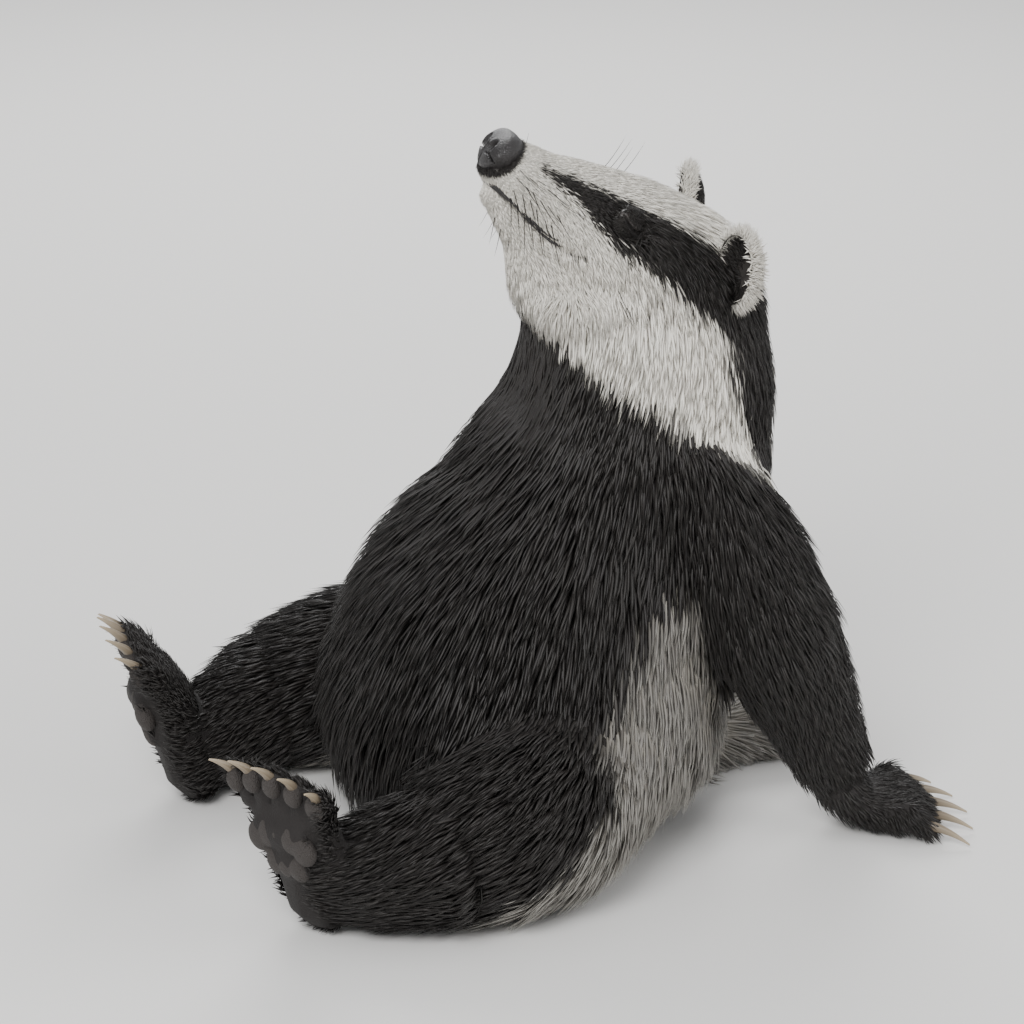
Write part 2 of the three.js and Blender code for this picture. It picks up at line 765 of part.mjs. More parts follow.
function laidLocks(locks, core, obstacle) {
  return locks.flatMap((lock) => {
    const whole = lockOn(lock, 0);
    const clear = onFloor(whole).subtract(obstacle);
    if (clear.volume() < LEAST_SHARE * whole.volume()) return [];
    const left = largest(clear);
    if (left.intersect(core).volume() < LEAST_ROOT) return [];
    return [{ solid: left, grown: lockOn(lock, PART_GAP) }];
  });
}
const solidsOf = (laid) => laid.map(({ solid }) => solid);
const grownOf = (laid) => laid.map(({ grown: solid }) => solid);

const trunkCore = trunkSolid(PART_GAP - COAT_CORE);
const earZones = [LEFT, RIGHT].map((sign) =>
  headBall(EAR.back, sign * EAR.side, EAR.up, [EAR.thick + 10, EAR.wide + 10, EAR.tall + 10]),
);
const limbNames = ["upper_arm", "forearm", "thigh", "shank"];
const limbs = limbNames.flatMap((limb) => SIDES.map(([name]) => grown[`${limb}_${name}`]));
const tailLocks = laidLocks(lockRows(tailForm, TAIL_COAT), plain.tail, trunkCore);
const aroundTrunk = joined([
  grown.head,
  grown.jaw,
  grown.tail,
  ...grownOf(tailLocks),
  ...limbs,
  ...earZones,
]);

const trunkLocks = { neck: [], upper_torso: [], lower_torso: [] };
lockRows(trunkForm, TRUNK_COAT).forEach((lock) => {
  const [name, moved] = trunkNode(lock);
  trunkLocks[name].push(moved);
});
const laidTrunk = {};
laidTrunk.neck = laidLocks(trunkLocks.neck, plain.neck, aroundTrunk);
laidTrunk.upper_torso = laidLocks(
  trunkLocks.upper_torso,
  plain.upper_torso,
  aroundTrunk.add(grown.neck),
);
laidTrunk.lower_torso = laidLocks(
  trunkLocks.lower_torso,
  plain.lower_torso,
  joined([aroundTrunk, grown.neck, grown.upper_torso]),
);

// Parting: each part is cut clear of those that it grows from
const solids = {};
solids.head = cleared(plain.head, [eyeBall(LEFT, PART_GAP), eyeBall(RIGHT, PART_GAP)]);
solids.nose = noseSolid().subtract(grown.head);
[LEFT, RIGHT].forEach((sign) => {
  solids.head = solids.head.subtract(lipRidge(sign, 0, MOUTH_GAP)).add(lipRidge(sign, 2.4, 1.7));
});
solids.jaw = plain.jaw
  .subtract(skullForm.solid(20, 10, MOUTH_GAP, [0.75]))
  .subtract(joined([LEFT, RIGHT].map((sign) => lipRidge(sign, 2.4, 1.7 + PART_GAP))));
solids.neck = joined([plain.neck, ...solidsOf(laidTrunk.neck)]);
solids.neck = cleared(solids.neck, [grown.head, grown.jaw]);
solids.upper_torso = joined([plain.upper_torso, ...solidsOf(laidTrunk.upper_torso)]);
solids.upper_torso = cleared(solids.upper_torso, grownOf(laidTrunk.neck));
solids.lower_torso = joined([plain.lower_torso, ...solidsOf(laidTrunk.lower_torso)]);
solids.lower_torso = cleared(solids.lower_torso, [
  ...grownOf(laidTrunk.neck),
  ...grownOf(laidTrunk.upper_torso),
]);
SIDES.forEach(([name, sign]) => {
  solids[`eye_${name}`] = plain[`eye_${name}`];
  solids[`ear_${name}`] = plain[`ear_${name}`].subtract(grown.head).subtract(grown.neck);
  solids[`upper_arm_${name}`] = plain[`upper_arm_${name}`].subtract(trunkCore);
  solids[`forearm_${name}`] = cleared(plain[`forearm_${name}`], [trunkCore, grown[`upper_arm_${name}`]]);
  solids[`forepaw_${name}`] = cleared(plain[`forepaw_${name}`], [grown[`forearm_${name}`]]);
  solids[`thigh_${name}`] = plain[`thigh_${name}`].subtract(trunkCore);
  solids[`shank_${name}`] = cleared(plain[`shank_${name}`], [trunkCore, grown[`thigh_${name}`]]);
  solids[`hind_foot_${name}`] = cleared(plain[`hind_foot_${name}`], [grown[`shank_${name}`]]);
  foreClaws(sign).forEach((claw, i) => {
    solids[`claw_fore_${name}_${i + 1}`] = onFloor(claw).subtract(grown[`forepaw_${name}`]);
  });
  hindClaws(name, sign).forEach((claw, i) => {
    solids[`claw_hind_${name}_${i + 1}`] = claw.subtract(grown[`hind_foot_${name}`]);
  });
});
solids.tail = joined([plain.tail, ...solidsOf(tailLocks)]).subtract(trunkCore);

// The finished group
const FINISH = {
  head: ["white_coat", 0.8],
  jaw: ["white_coat", 0.8],
  nose: ["nose_leather", 0.45],
  eye: ["lid_skin", 0.6],
  ear: ["black_coat", 0.85],
  neck: ["grey_coat", 0.85],
  upper_torso: ["grey_coat", 0.85],
  lower_torso: ["grey_coat", 0.85],
  tail: ["grey_coat", 0.85],
  claw: ["claw_horn", 0.4],
};
const badger = new THREE.Group();
Object.entries(solids).forEach(([name, solid]) => {
  const key = Object.keys(FINISH).find((start) => name.startsWith(start));
  const [colour, roughness] = key ? FINISH[key] : ["black_coat", 0.85];
  const material = new THREE.MeshStandardMaterial({
    color: new THREE.Color(...COLOURS[colour]),
    roughness,
    metalness: 0,
  });
  const mesh = new THREE.Mesh(geometryOf(largest(solid)), material);
  mesh.name = name;
  badger.add(mesh);
});
badger.position.set(-FOOTPRINT_MIDDLE[0], -FOOTPRINT_MIDDLE[1], 0);

export default badger;
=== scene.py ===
import math

import bmesh
import bpy
import numpy as np
from mathutils import Matrix, Vector, kdtree


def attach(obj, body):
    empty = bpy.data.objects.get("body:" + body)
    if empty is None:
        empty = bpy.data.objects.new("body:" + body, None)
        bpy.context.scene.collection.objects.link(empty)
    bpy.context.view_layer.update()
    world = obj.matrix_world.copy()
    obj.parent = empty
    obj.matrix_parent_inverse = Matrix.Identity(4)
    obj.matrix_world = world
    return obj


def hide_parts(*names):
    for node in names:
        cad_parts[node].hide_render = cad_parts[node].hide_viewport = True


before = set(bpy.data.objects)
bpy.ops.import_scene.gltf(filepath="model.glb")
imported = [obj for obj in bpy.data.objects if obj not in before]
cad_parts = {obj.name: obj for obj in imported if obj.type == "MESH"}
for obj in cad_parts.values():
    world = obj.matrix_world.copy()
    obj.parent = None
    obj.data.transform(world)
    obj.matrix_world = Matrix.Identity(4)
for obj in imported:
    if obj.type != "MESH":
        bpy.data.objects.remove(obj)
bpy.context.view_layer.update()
bpy.ops.object.select_all(action="DESELECT")

# Build of the badger: the lines of its bones, from which the lie, length and depth of its coat are
# read. Metres; the nose points towards -X, the left side is -Y. The head has its own place and sizes:
# "back" from the tip of the nose, "side" to its right and "up" to the crown, in millimetres.
HEAD_PIVOT = Vector((0.1235, 0, 0.386))
HEAD_SIZE = 1.2
NOSE_REACH = 158.83  # from the pivot to the tip of the nose
HEAD_PLACE = (
    Matrix.Translation(HEAD_PIVOT)
    @ Matrix.Rotation(math.radians(-12), 4, "Z")
    @ Matrix.Rotation(math.radians(38), 4, "Y")
    @ Matrix.Rotation(math.radians(2), 4, "X")
    @ Matrix.Diagonal((-HEAD_SIZE / 1000, HEAD_SIZE / 1000, HEAD_SIZE / 1000, 1))
)
SIDES = (("left", -1), ("right", 1))


def on_head(back, side, up):
    return HEAD_PLACE @ Vector((NOSE_REACH - back, side, up))


def turned(ways, place):
    return ways @ np.array(place)[:3, :3].T


def moved(points, place):
    return turned(points, place) + np.array(place)[:3, 3]


def head_sizes(points):
    """Back from the nose, to the side and up, in the head's own millimetres."""
    along, side, up = moved(points, HEAD_PLACE.inverted()).T
    return NOSE_REACH - along, side, up


FOOT_TURN = {-1: 24, 1: -12}
FOOT_SIZE = 1.16


def foot_place(sign):
    return (
        Matrix.Translation((-0.2115, sign * 0.122, 0))
        @ Matrix.Rotation(math.radians(FOOT_TURN[sign]), 4, "Z")
        @ Matrix.Rotation(math.radians(-18), 4, "Y")
        @ Matrix.Scale(FOOT_SIZE / 1000, 4)
    )


PAW_SIZE = 1.08


def paw_place(sign):
    return (
        Matrix.Translation((0.2105, sign * 0.128, 0.017))
        @ Matrix.Rotation(math.radians(sign * 16), 4, "Z")
        @ Matrix.Scale(PAW_SIZE / 1000, 4)
    )


# Each bone: from, to, how thick the flesh is there, then the coat's length, width, lift and depth, all
# in millimetres but lift, which is the share of its length that a hair stands off the skin
bones = [
    (on_head(0, 0, 0), on_head(55, 0, -3), 27, 4.6, 0.75, 0.24, 0.8),
    (on_head(62, 0, 0), on_head(105, 0, -6), 56, 8.5, 1.05, 0.2, 2.0),
    (on_head(110, 0, -4), on_head(160, 0, -8), 80, 15, 1.5, 0.2, 3.5),
    (Vector((0.1205, 0, 0.396)), Vector((0.0995, 0, 0.334)), 88, 31, 2.4, 0.22, 3),
    (Vector((0.0995, 0, 0.334)), Vector((0.0425, 0, 0.228)), 108, 40, 2.8, 0.22, 2),
    (Vector((0.0425, 0, 0.228)), Vector((0.001, 0, 0.112)), 138, 46, 3.0, 0.2, 2),
    (Vector((0.001, 0, 0.112)), Vector((0.005, 0, 0.02)), 148, 46, 3.0, 0.18, 3),
    (Vector((0.1165, 0.002, 0.046)), Vector((0.2445, 0.040, 0.02)), 30, 40, 2.2, 0.2, 7),
]
for _, sign in SIDES:
    shoulder = Vector((0.0845, sign * 0.066, 0.282))
    elbow = Vector((0.1355, sign * 0.122, 0.160))
    wrist = Vector((0.1865, sign * 0.124, 0.050))
    hip = Vector((0.0305, sign * 0.080, 0.084))
    knee = Vector((-0.1275, sign * 0.157, 0.058))
    heel = Vector((-0.2055, sign * 0.127, 0.042))
    foot_root, foot_tip = (foot_place(sign) @ Vector(end) for end in ((-2, 0, 16), (-4, 0, 120)))
    bones += [
        (shoulder, elbow, 54, 28, 2.4, 0.2, 6),
        (elbow, wrist, 42, 18, 1.8, 0.17, 4),
        (wrist, paw_place(sign) @ Vector((50, 0, -6)), 32, 9, 1.35, 0.16, 1.2),
        (hip, knee, 70, 30, 2.5, 0.2, 7),
        (knee, heel, 52, 19, 1.9, 0.17, 4),
        (foot_root, foot_tip, 30, 9, 1.35, 0.16, 1.2),
    ]
MUZZLE, FACE, CROWN, NECK, CHEST, BELLY, RUMP, TAIL = range(8)
UPPER_ARM, FOREARM, PAW, THIGH, SHANK, FOOT = ([left, left + 6] for left in range(8, 14))
BONE_FROM = np.array([bone[0] for bone in bones])
BONE_LINE = np.array([bone[1] for bone in bones]) - BONE_FROM
BONE_THICK = np.array([bone[2] for bone in bones]) / 1000
BONE_COAT = np.array([bone[3:] for bone in bones])


def bone_shares(points, sharpness=7):
    """How much each bone rules each point, the nearest for its thickness the most."""
    shares = np.empty((len(points), len(bones)))
    for i in range(len(bones)):
        away = points - BONE_FROM[i]
        along = np.clip(away @ BONE_LINE[i] / (BONE_LINE[i] @ BONE_LINE[i]), 0, 1)
        gap = np.linalg.norm(away - along[:, None] * BONE_LINE[i], axis=1)
        shares[:, i] = (gap / BONE_THICK[i] + 0.02) ** -sharpness
    return shares / shares.sum(axis=1, keepdims=True)


def ramp(value, start, end):
    return np.clip((value - start) / (end - start), 0, 1)


def trunk_line(z):
    """Where the middle line of the trunk and neck is at a height."""
    heights = [0.112, 0.168, 0.228, 0.286, 0.334, 0.396]
    return np.interp(z, heights, [0.0005, 0.0125, 0.0425, 0.0775, 0.0995, 0.1205])


# Markings: a white face with a black stripe through each eye and ear that runs down the neck, a white
# band below it, black throat, belly and legs, and a grizzled silver grey back, flanks and rump. The lips
# and the skin round the nose pad are black and bare.
STRIPE_ON_FACE = {
    "back": [28, 50, 80, 110, 150, 180],
    "turn": [44, 50, 62, 60, 58, 60],
    "half": [1.5, 6, 12.5, 15, 19, 25],
}
MOUTH_BACK, MOUTH_SIDE, MOUTH_UP = zip(
    (17, 11, -13), (28, 17, -15.5), (42, 20.5, -17.5), (56, 25, -18.5), (67, 31, -16), (75, 35.5, -10.5)
)


def mouth_line(back):
    """Side and height of the line between the lips."""
    return np.interp(back, MOUTH_BACK, MOUTH_SIDE), np.interp(back, MOUTH_BACK, MOUTH_UP)


def from_mouth(back, side, up):
    """How far from the line between the lips, in the head's millimetres, and far past its ends."""
    line_side, line_up = mouth_line(back)
    return np.hypot(0.5 * (np.abs(side) - line_side), up - line_up) * (1 + 9 * (back > 76) + 9 * (back < 16))


def from_pad(back, side, up):
    """How far from the middle of the nose pad, where its edge is 1."""
    return np.sqrt(((back - 9.5) / 10) ** 2 + (side / 17.5) ** 2 + ((up - 4) / 13.2) ** 2)


def markings(points, rng):
    """Shares of white, black and grey at each point, with ragged edges as hair gives them."""
    back, side, up = head_sizes(points)
    ragged = rng.normal(0, 1.6, len(points))
    turn = np.degrees(np.arctan2(np.abs(side), up + 4))
    reach = np.hypot(side, up + 4)
    middle = np.interp(back, STRIPE_ON_FACE["back"], STRIPE_ON_FACE["turn"])
    half = np.interp(back, STRIPE_ON_FACE["back"], STRIPE_ON_FACE["half"])
    from_middle = np.abs(np.radians(turn - middle)) * reach
    face_stripe = ramp(half + ragged - from_middle, -1.2, 1.2) * (back > 27)
    under = np.interp(back, [40, 60, 94, 131, 150, 175], [-90, -62, -49, -42, -38, -32])
    face_throat = ramp(under - up + 1.5 * ragged, -2, 2) * ramp(back, 50, 58)
    by_mouth = ramp(from_mouth(back, side, up), 2.5, 2.0)
    by_pad = ramp(from_pad(back, side, up), 1.20, 1.12)
    face_black = np.maximum.reduce([face_stripe, face_throat, by_mouth, by_pad])

    x, y, z = points.T
    around = np.degrees(np.arctan2(np.abs(y), x - trunk_line(z))) + 1.4 * ragged
    heights = [0.225, 0.26, 0.30, 0.32, 0.35, 0.385, 0.41]
    stripe_in = np.interp(z, heights, [22, 24, 30, 34, 38, 42, 44])
    stripe_out = np.interp(z, heights, [42, 50, 59, 65, 76, 92, 104])
    band_out = np.interp(z, heights, [44, 60, 77, 88, 112, 145, 168])
    flank = np.interp(z, [0.02, 0.10, 0.17, 0.215, 0.25], [112, 100, 90, 86, 24])
    in_stripe = ramp(around - stripe_in, -2, 2) * ramp(stripe_out - around, -2, 2) * ramp(z, 0.225, 0.25)
    in_band = ramp(around - stripe_out, -2, 2) * ramp(band_out - around, -2, 2) * ramp(z, 0.23, 0.26)
    nape = ramp(z, 0.34, 0.41) * ramp(stripe_in - around, -2, 2)
    under_band = ramp(around - np.maximum(flank, band_out * (z > 0.225)), -2, 2)
    body_black = np.clip(np.maximum(in_stripe, under_band) - in_band, 0, 1)
    body_white = np.maximum(in_band, nape * 0.85)

    shares = bone_shares(points)
    headness = ramp(back, 172, 152) * ramp(up, -92, -80)
    legs = shares[:, UPPER_ARM + FOREARM + PAW + SHANK + FOOT].sum(axis=1)
    thighs = shares[:, THIGH].sum(axis=1)
    thigh_grey = ramp(x - 1.05 * z + 0.1253 + 0.004 * ragged, -0.004, 0.004) * ramp(np.abs(y), 0.08, 0.10)
    black = headness * face_black + (1 - headness) * body_black
    white = headness * (1 - face_black) + (1 - headness) * body_white * (1 - body_black)
    leg_rule = ramp(legs, 0.4, 0.6)
    black = black * (1 - leg_rule) + leg_rule
    white = white * (1 - leg_rule)
    thigh_rule = ramp(thighs, 0.4, 0.6)
    black = black * (1 - thigh_rule) + (1 - thigh_grey) * thigh_rule
    white = white * (1 - thigh_rule)
    grey = np.clip(1 - black - white, 0, 1)
    whole = black + white + grey
    return white / whole, black / whole, grey / whole


WHITE_HAIR = np.array([0.80, 0.765, 0.69])
BLACK_HAIR = np.array([0.020, 0.0175, 0.016])
GREY_ROOT = np.array([0.36, 0.335, 0.29])
GREY_BAND = np.array([0.048, 0.042, 0.038])
GREY_TIP = np.array([0.50, 0.48, 0.44])


def hair_colours(shares, share_along, tone):
    """Colour at one share of the way from root to tip. Grey hair is pale, banded dark, tipped pale."""
    white, black, grey = shares
    knots = [0, 0.3, 0.62, 1]
    banded = np.array([
        np.interp(share_along, knots, [GREY_ROOT[c], GREY_ROOT[c] * 0.7, GREY_BAND[c], GREY_TIP[c]])
        for c in range(3)
    ])
    rooted = 0.75 + 0.25 * min(1, share_along * 2.5)
    colour = (
        white[:, None] * WHITE_HAIR * rooted
        + black[:, None] * BLACK_HAIR
        + grey[:, None] * banded
    )
    return np.clip(colour * tone[:, None], 0, 1)


# Skin: one hide over all the flesh, from the nose pad to the toes, as a mounted skin is. It is drawn over
# the solid parts, smoothed where the long coat hides it, and lies under the tips of the coat by the
# coat's depth.
FLESH = ["head", "jaw", "neck", "upper_torso", "lower_torso", "tail"] + [
    f"{part}_{side}"
    for part in ("upper_arm", "forearm", "forepaw", "thigh", "shank", "hind_foot")
    for side, _ in SIDES
]
SKIN_VOXEL = 0.0034
SWELL = 0.0005  # closes the thin cuts between the solid parts


def select_only(piece):
    bpy.ops.object.select_all(action="DESELECT")
    piece.select_set(True)
    bpy.context.view_layer.objects.active = piece


def merged_copy(nodes, swell):
    """One mesh from CAD parts, each with its loose triangles merged and swollen a little."""
    whole = bmesh.new()
    for name in nodes:
        part = bmesh.new()
        part.from_mesh(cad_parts[name].data)
        bmesh.ops.remove_doubles(part, verts=part.verts, dist=1e-6)
        part.normal_update()
        for vertex in part.verts:
            vertex.co += vertex.normal * swell
        mesh = bpy.data.meshes.new("part")
        part.to_mesh(mesh)
        part.free()
        whole.from_mesh(mesh)
        bpy.data.meshes.remove(mesh)
    mesh = bpy.data.meshes.new("whole")
    whole.to_mesh(mesh)
    whole.free()
    piece = bpy.data.objects.new("whole", mesh)
    bpy.context.collection.objects.link(piece)
    return piece


def remeshed(piece, voxel):
    select_only(piece)
    piece.data.remesh_voxel_size = voxel
    bpy.ops.object.voxel_remesh()
    keep_largest(piece)
    return piece


def keep_largest(piece):
    """Only the outer shell stays, without the pockets that the thin cuts leave inside."""
    shell = bmesh.new()
    shell.from_mesh(piece.data)
    seen, shells = set(), []
    for start in shell.verts:
        if start.index in seen:
            continue
        group, front = [], [start]
        seen.add(start.index)
        while front:
            vertex = front.pop()
            group.append(vertex)
            for edge in vertex.link_edges:
                other = edge.other_vert(vertex)
                if other.index not in seen:
                    seen.add(other.index)
                    front.append(other)
        shells.append(group)
    shells.sort(key=len)
    for group in shells[:-1]:
        bmesh.ops.delete(shell, geom=group, context="VERTS")
    shell.to_mesh(piece.data)
    shell.free()


def places(mesh):
    flat = np.empty(len(mesh.vertices) * 3, dtype=np.float32)
    mesh.vertices.foreach_get("co", flat)
    return flat.reshape(-1, 3).astype(float)


def normals_of(mesh):
    flat = np.empty(len(mesh.vertices) * 3, dtype=np.float32)
    mesh.vertex_normals.foreach_get("vector", flat)
    return flat.reshape(-1, 3).astype(float)


def put_places(mesh, points):
    mesh.vertices.foreach_set("co", points.astype(np.float32).ravel())
    mesh.update()


def relaxed(mesh, strength, rounds):
    """Each vertex moves towards the middle of its neighbours, by its own strength."""
    ends = np.empty(len(mesh.edges) * 2, dtype=np.int32)
    mesh.edges.foreach_get("vertices", ends)
    a, b = ends.reshape(-1, 2).T
    count = len(mesh.vertices)
    degree = np.bincount(a, minlength=count) + np.bincount(b, minlength=count)
    points = places(mesh)
    for _ in range(rounds):
        around = np.empty_like(points)
        for axis in range(3):
            around[:, axis] = np.bincount(a, points[b, axis], count) + np.bincount(b, points[a, axis], count)
        points += strength[:, None] * (around / degree[:, None] - points)
    put_places(mesh, points)


def without_locks(points, trunk_share):
    """The trunk drawn in to the flesh between the locks: low in each patch, then evened out."""
    turns, levels, level_height = 60, 42, 0.012
    x, y, z = points.T
    off = x - trunk_line(z)
    reach = np.hypot(off, y)
    turn = (np.arctan2(y, off) / (2 * math.pi)) % 1 * turns
    level = np.clip(z / level_height, 0, levels - 1)
    patch = np.floor(turn).astype(int) % turns * levels + np.floor(level).astype(int)
    low = np.full(turns * levels, np.nan)
    on_trunk = trunk_share > 0.6
    order = np.argsort(patch[on_trunk], kind="stable")
    ids, firsts = np.unique(patch[on_trunk][order], return_index=True)
    for patch_id, group in zip(ids, np.split(reach[on_trunk][order], firsts[1:])):
        low[patch_id] = np.percentile(group, 22)
    low = low.reshape(turns, levels)
    known = ~np.isnan(low)
    level_sum, known_sum = np.where(known, low, 0), known.astype(float)
    for _ in range(3):
        for grid in (level_sum, known_sum):
            grid[:] = 0.5 * grid + 0.25 * (np.roll(grid, 1, 0) + np.roll(grid, -1, 0))
            grid[:, 1:-1] = 0.5 * grid[:, 1:-1] + 0.25 * (grid[:, :-2] + grid[:, 2:])
    even = level_sum / np.maximum(known_sum, 1e-6)
    a = np.floor(turn - 0.5).astype(int)
    b = np.clip(np.floor(level - 0.5), 0, levels - 2).astype(int)
    fa, fb = turn - 0.5 - a, np.clip(level - 0.5 - b, 0, 1)
    here, beyond = a % turns, (a + 1) % turns
    core = (
        (1 - fa) * ((1 - fb) * even[here, b] + fb * even[here, b + 1])
        + fa * ((1 - fb) * even[beyond, b] + fb * even[beyond, b + 1])
    )
    drawn = np.minimum(reach, core + 0.0008)
    scale = 1 + ramp(trunk_share, 0.45, 0.75) * (drawn / np.maximum(reach, 1e-6) - 1)
    return np.stack([trunk_line(z) + off * scale, y * scale, z], axis=1)


skin = remeshed(merged_copy(FLESH, SWELL), SKIN_VOXEL)
skin.name = skin.data.name = "skin"
shares = bone_shares(places(skin.data))
put_places(skin.data, without_locks(places(skin.data), shares[:, NECK:TAIL].sum(axis=1)))
remeshed(skin, SKIN_VOXEL)
shares = bone_shares(places(skin.data))
trunk_share = shares[:, NECK:TAIL + 1].sum(axis=1)
toe_share = shares[:, PAW + FOOT].sum(axis=1)
relaxed(skin.data, 0.5 * np.clip(1 - toe_share, 0.25, 1), 4)
relaxed(skin.data, 0.7 * ramp(trunk_share, 0.3, 0.8), 60)
back, side, up = head_sizes(places(skin.data))
relaxed(skin.data, 0.6 * ramp(back, 96, 118) * ramp(back, 215, 190) * ramp(up, -120, -90), 30)
relaxed(skin.data, np.full(len(skin.data.vertices), 0.3), 2)
depth = bone_shares(places(skin.data)) @ BONE_COAT[:, 3] / 1000
put_places(skin.data, places(skin.data) - normals_of(skin.data) * depth[:, None])
relaxed(skin.data, 0.5 * ramp(trunk_share, 0.3, 0.8), 6)

# The lips meet in a groove that runs back from under the nose, and the nose pad has a seat
points = places(skin.data)
on_face = head_sizes(points)
lip_groove = 0.0018 * np.exp(-((from_mouth(*on_face) / 2.0) ** 2))
pad_seat = 0.0038 * ramp(from_pad(*on_face), 1.04, 0.85)
put_places(skin.data, points - normals_of(skin.data) * (lip_groove + pad_seat)[:, None])


def unwrapped(piece):
    """Smooth shaded, with an unwrap of its own shape."""
    select_only(piece)
    bpy.ops.object.mode_set(mode="EDIT")
    bpy.ops.mesh.select_all(action="SELECT")
    bpy.ops.mesh.normals_make_consistent(inside=False)
    bpy.ops.uv.smart_project(angle_limit=math.radians(60), island_margin=0.002)
    bpy.ops.object.mode_set(mode="OBJECT")
    piece.data.uv_layers.active.name = "OFBake"
    bpy.ops.object.shade_smooth()


unwrapped(skin)


def paint(mesh, colours, layer_name="coat_colour"):
    layer = mesh.color_attributes.new(layer_name, "BYTE_COLOR", "POINT")
    rgba = np.ones((len(colours), 4), dtype=np.float32)
    rgba[:, :3] = colours
    layer.data.foreach_set("color", rgba.ravel())


rng = np.random.default_rng(3)
skin_points = places(skin.data)
skin_marks = markings(skin_points, rng)
paint(skin.data, 0.8 * hair_colours(skin_marks, 0.5, np.ones(len(skin_points))))


def grained(made, kind, output, scale, bump, strength):
    """A fine bump on a material, fixed to the place of each point on its piece."""
    nodes, links = made.node_tree.nodes, made.node_tree.links
    place = nodes.new("ShaderNodeTexCoord")
    grain = nodes.new(kind)
    grain.inputs["Scale"].default_value = scale
    raised = nodes.new("ShaderNodeBump")
    raised.inputs["Distance"].default_value = bump
    raised.inputs["Strength"].default_value = strength
    links.new(place.outputs["Object"], grain.inputs["Vector"])
    links.new(grain.outputs[output], raised.inputs["Height"])
    links.new(raised.outputs["Normal"], nodes["Principled BSDF"].inputs["Normal"])
    return grain


def coat_material(name, rough, bump):
    """Hair that takes its colour from its root's place. Short fur that lies flat is a fine bump."""
    made = bpy.data.materials.new(name)
    made.use_nodes = True
    nodes, links = made.node_tree.nodes, made.node_tree.links
    shader = nodes["Principled BSDF"]
    shader.inputs["Roughness"].default_value = rough
    shader.inputs["Specular IOR Level"].default_value = 0.35
    colour = nodes.new("ShaderNodeVertexColor")
    colour.layer_name = "coat_colour"
    links.new(colour.outputs["Color"], shader.inputs["Base Color"])
    if bump:
        grain = grained(made, "ShaderNodeTexNoise", "Fac", 650, bump, 0.7)
        grain.inputs["Detail"].default_value = 3
    return made


skin.data.materials.append(coat_material("short_fur_on_hide", 0.75, 0.0012))
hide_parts(*FLESH)
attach(skin, "root")

# Coat: tufts of hair over the hide, each a thin tapered blade that leaves its root at a low angle and
# bends over along the body. Long guard hairs on the trunk gather in clumps; the face and feet are short.
RING_SHARES = {6: (0, 0.18, 0.36, 0.54, 0.72, 0.88, 1), 3: (0, 0.36, 0.72, 1), 2: (0, 0.5, 1)}
RING_WIDTHS = {6: (1, 0.94, 0.84, 0.7, 0.52, 0.3), 3: (0.7, 1.0, 0.68), 2: (0.85, 0.9)}
BLADE_ON_UNWRAP = 0.003  # a blade's length on the unwrap, twice its width
hair_material = coat_material("hair", 0.5, 0)


def unit(ways):
    return ways / np.linalg.norm(ways, axis=1, keepdims=True)


def square_to(ways, others):
    """The ways turned to lie square to the others, which are of length 1."""
    return unit(ways - (ways * others).sum(axis=1, keepdims=True) * others)


class Surface:
    """The triangles of a hide, to root hair in: places, normals and places on its unwrap."""

    def __init__(self, piece):
        mesh = bmesh.new()
        mesh.from_mesh(piece.data)
        bmesh.ops.triangulate(mesh, faces=mesh.faces)
        unwrap = mesh.loops.layers.uv["OFBake"]
        self.corners = np.array([[v.index for v in face.verts] for face in mesh.faces])
        self.unwrap = np.array([[tuple(loop[unwrap].uv) for loop in face.loops] for face in mesh.faces])
        mesh.free()
        self.points = places(piece.data)
        self.normals = normals_of(piece.data)
        corner = self.points[self.corners]
        cross = np.cross(corner[:, 1] - corner[:, 0], corner[:, 2] - corner[:, 0])
        self.area = 0.5 * np.linalg.norm(cross, axis=1)
        self.middle = corner.mean(axis=1)
        self.facing = unit(self.normals[self.corners].mean(axis=1))

    def scattered(self, weights, count, rng):
        """Roots spread evenly by area and weight: place, normal and place on the unwrap."""
        gain = np.cumsum(self.area * weights)
        drawn = (np.arange(count) + rng.random(count)) / count * gain[-1]
        chosen = np.clip(np.searchsorted(gain, drawn), 0, len(gain) - 1)
        r1, r2 = np.sqrt(rng.random(count)), rng.random(count)
        shares = np.stack([1 - r1, r1 * (1 - r2), r1 * r2], axis=1)
        root = np.einsum("nk,nkc->nc", shares, self.points[self.corners[chosen]])
        normal = np.einsum("nk,nkc->nc", shares, self.normals[self.corners[chosen]])
        patch = np.einsum("nk,nkc->nc", shares, self.unwrap[chosen])
        return root, unit(normal), patch


hide = Surface(skin)


def lie_of(points, normals, rng, wander):
    """The way that the hair lies: along the bones, over the skin, with a little wander."""
    way = bone_shares(points, 4) @ unit(BONE_LINE)
    way += rng.normal(0, wander, way.shape)
    return square_to(way, normals)


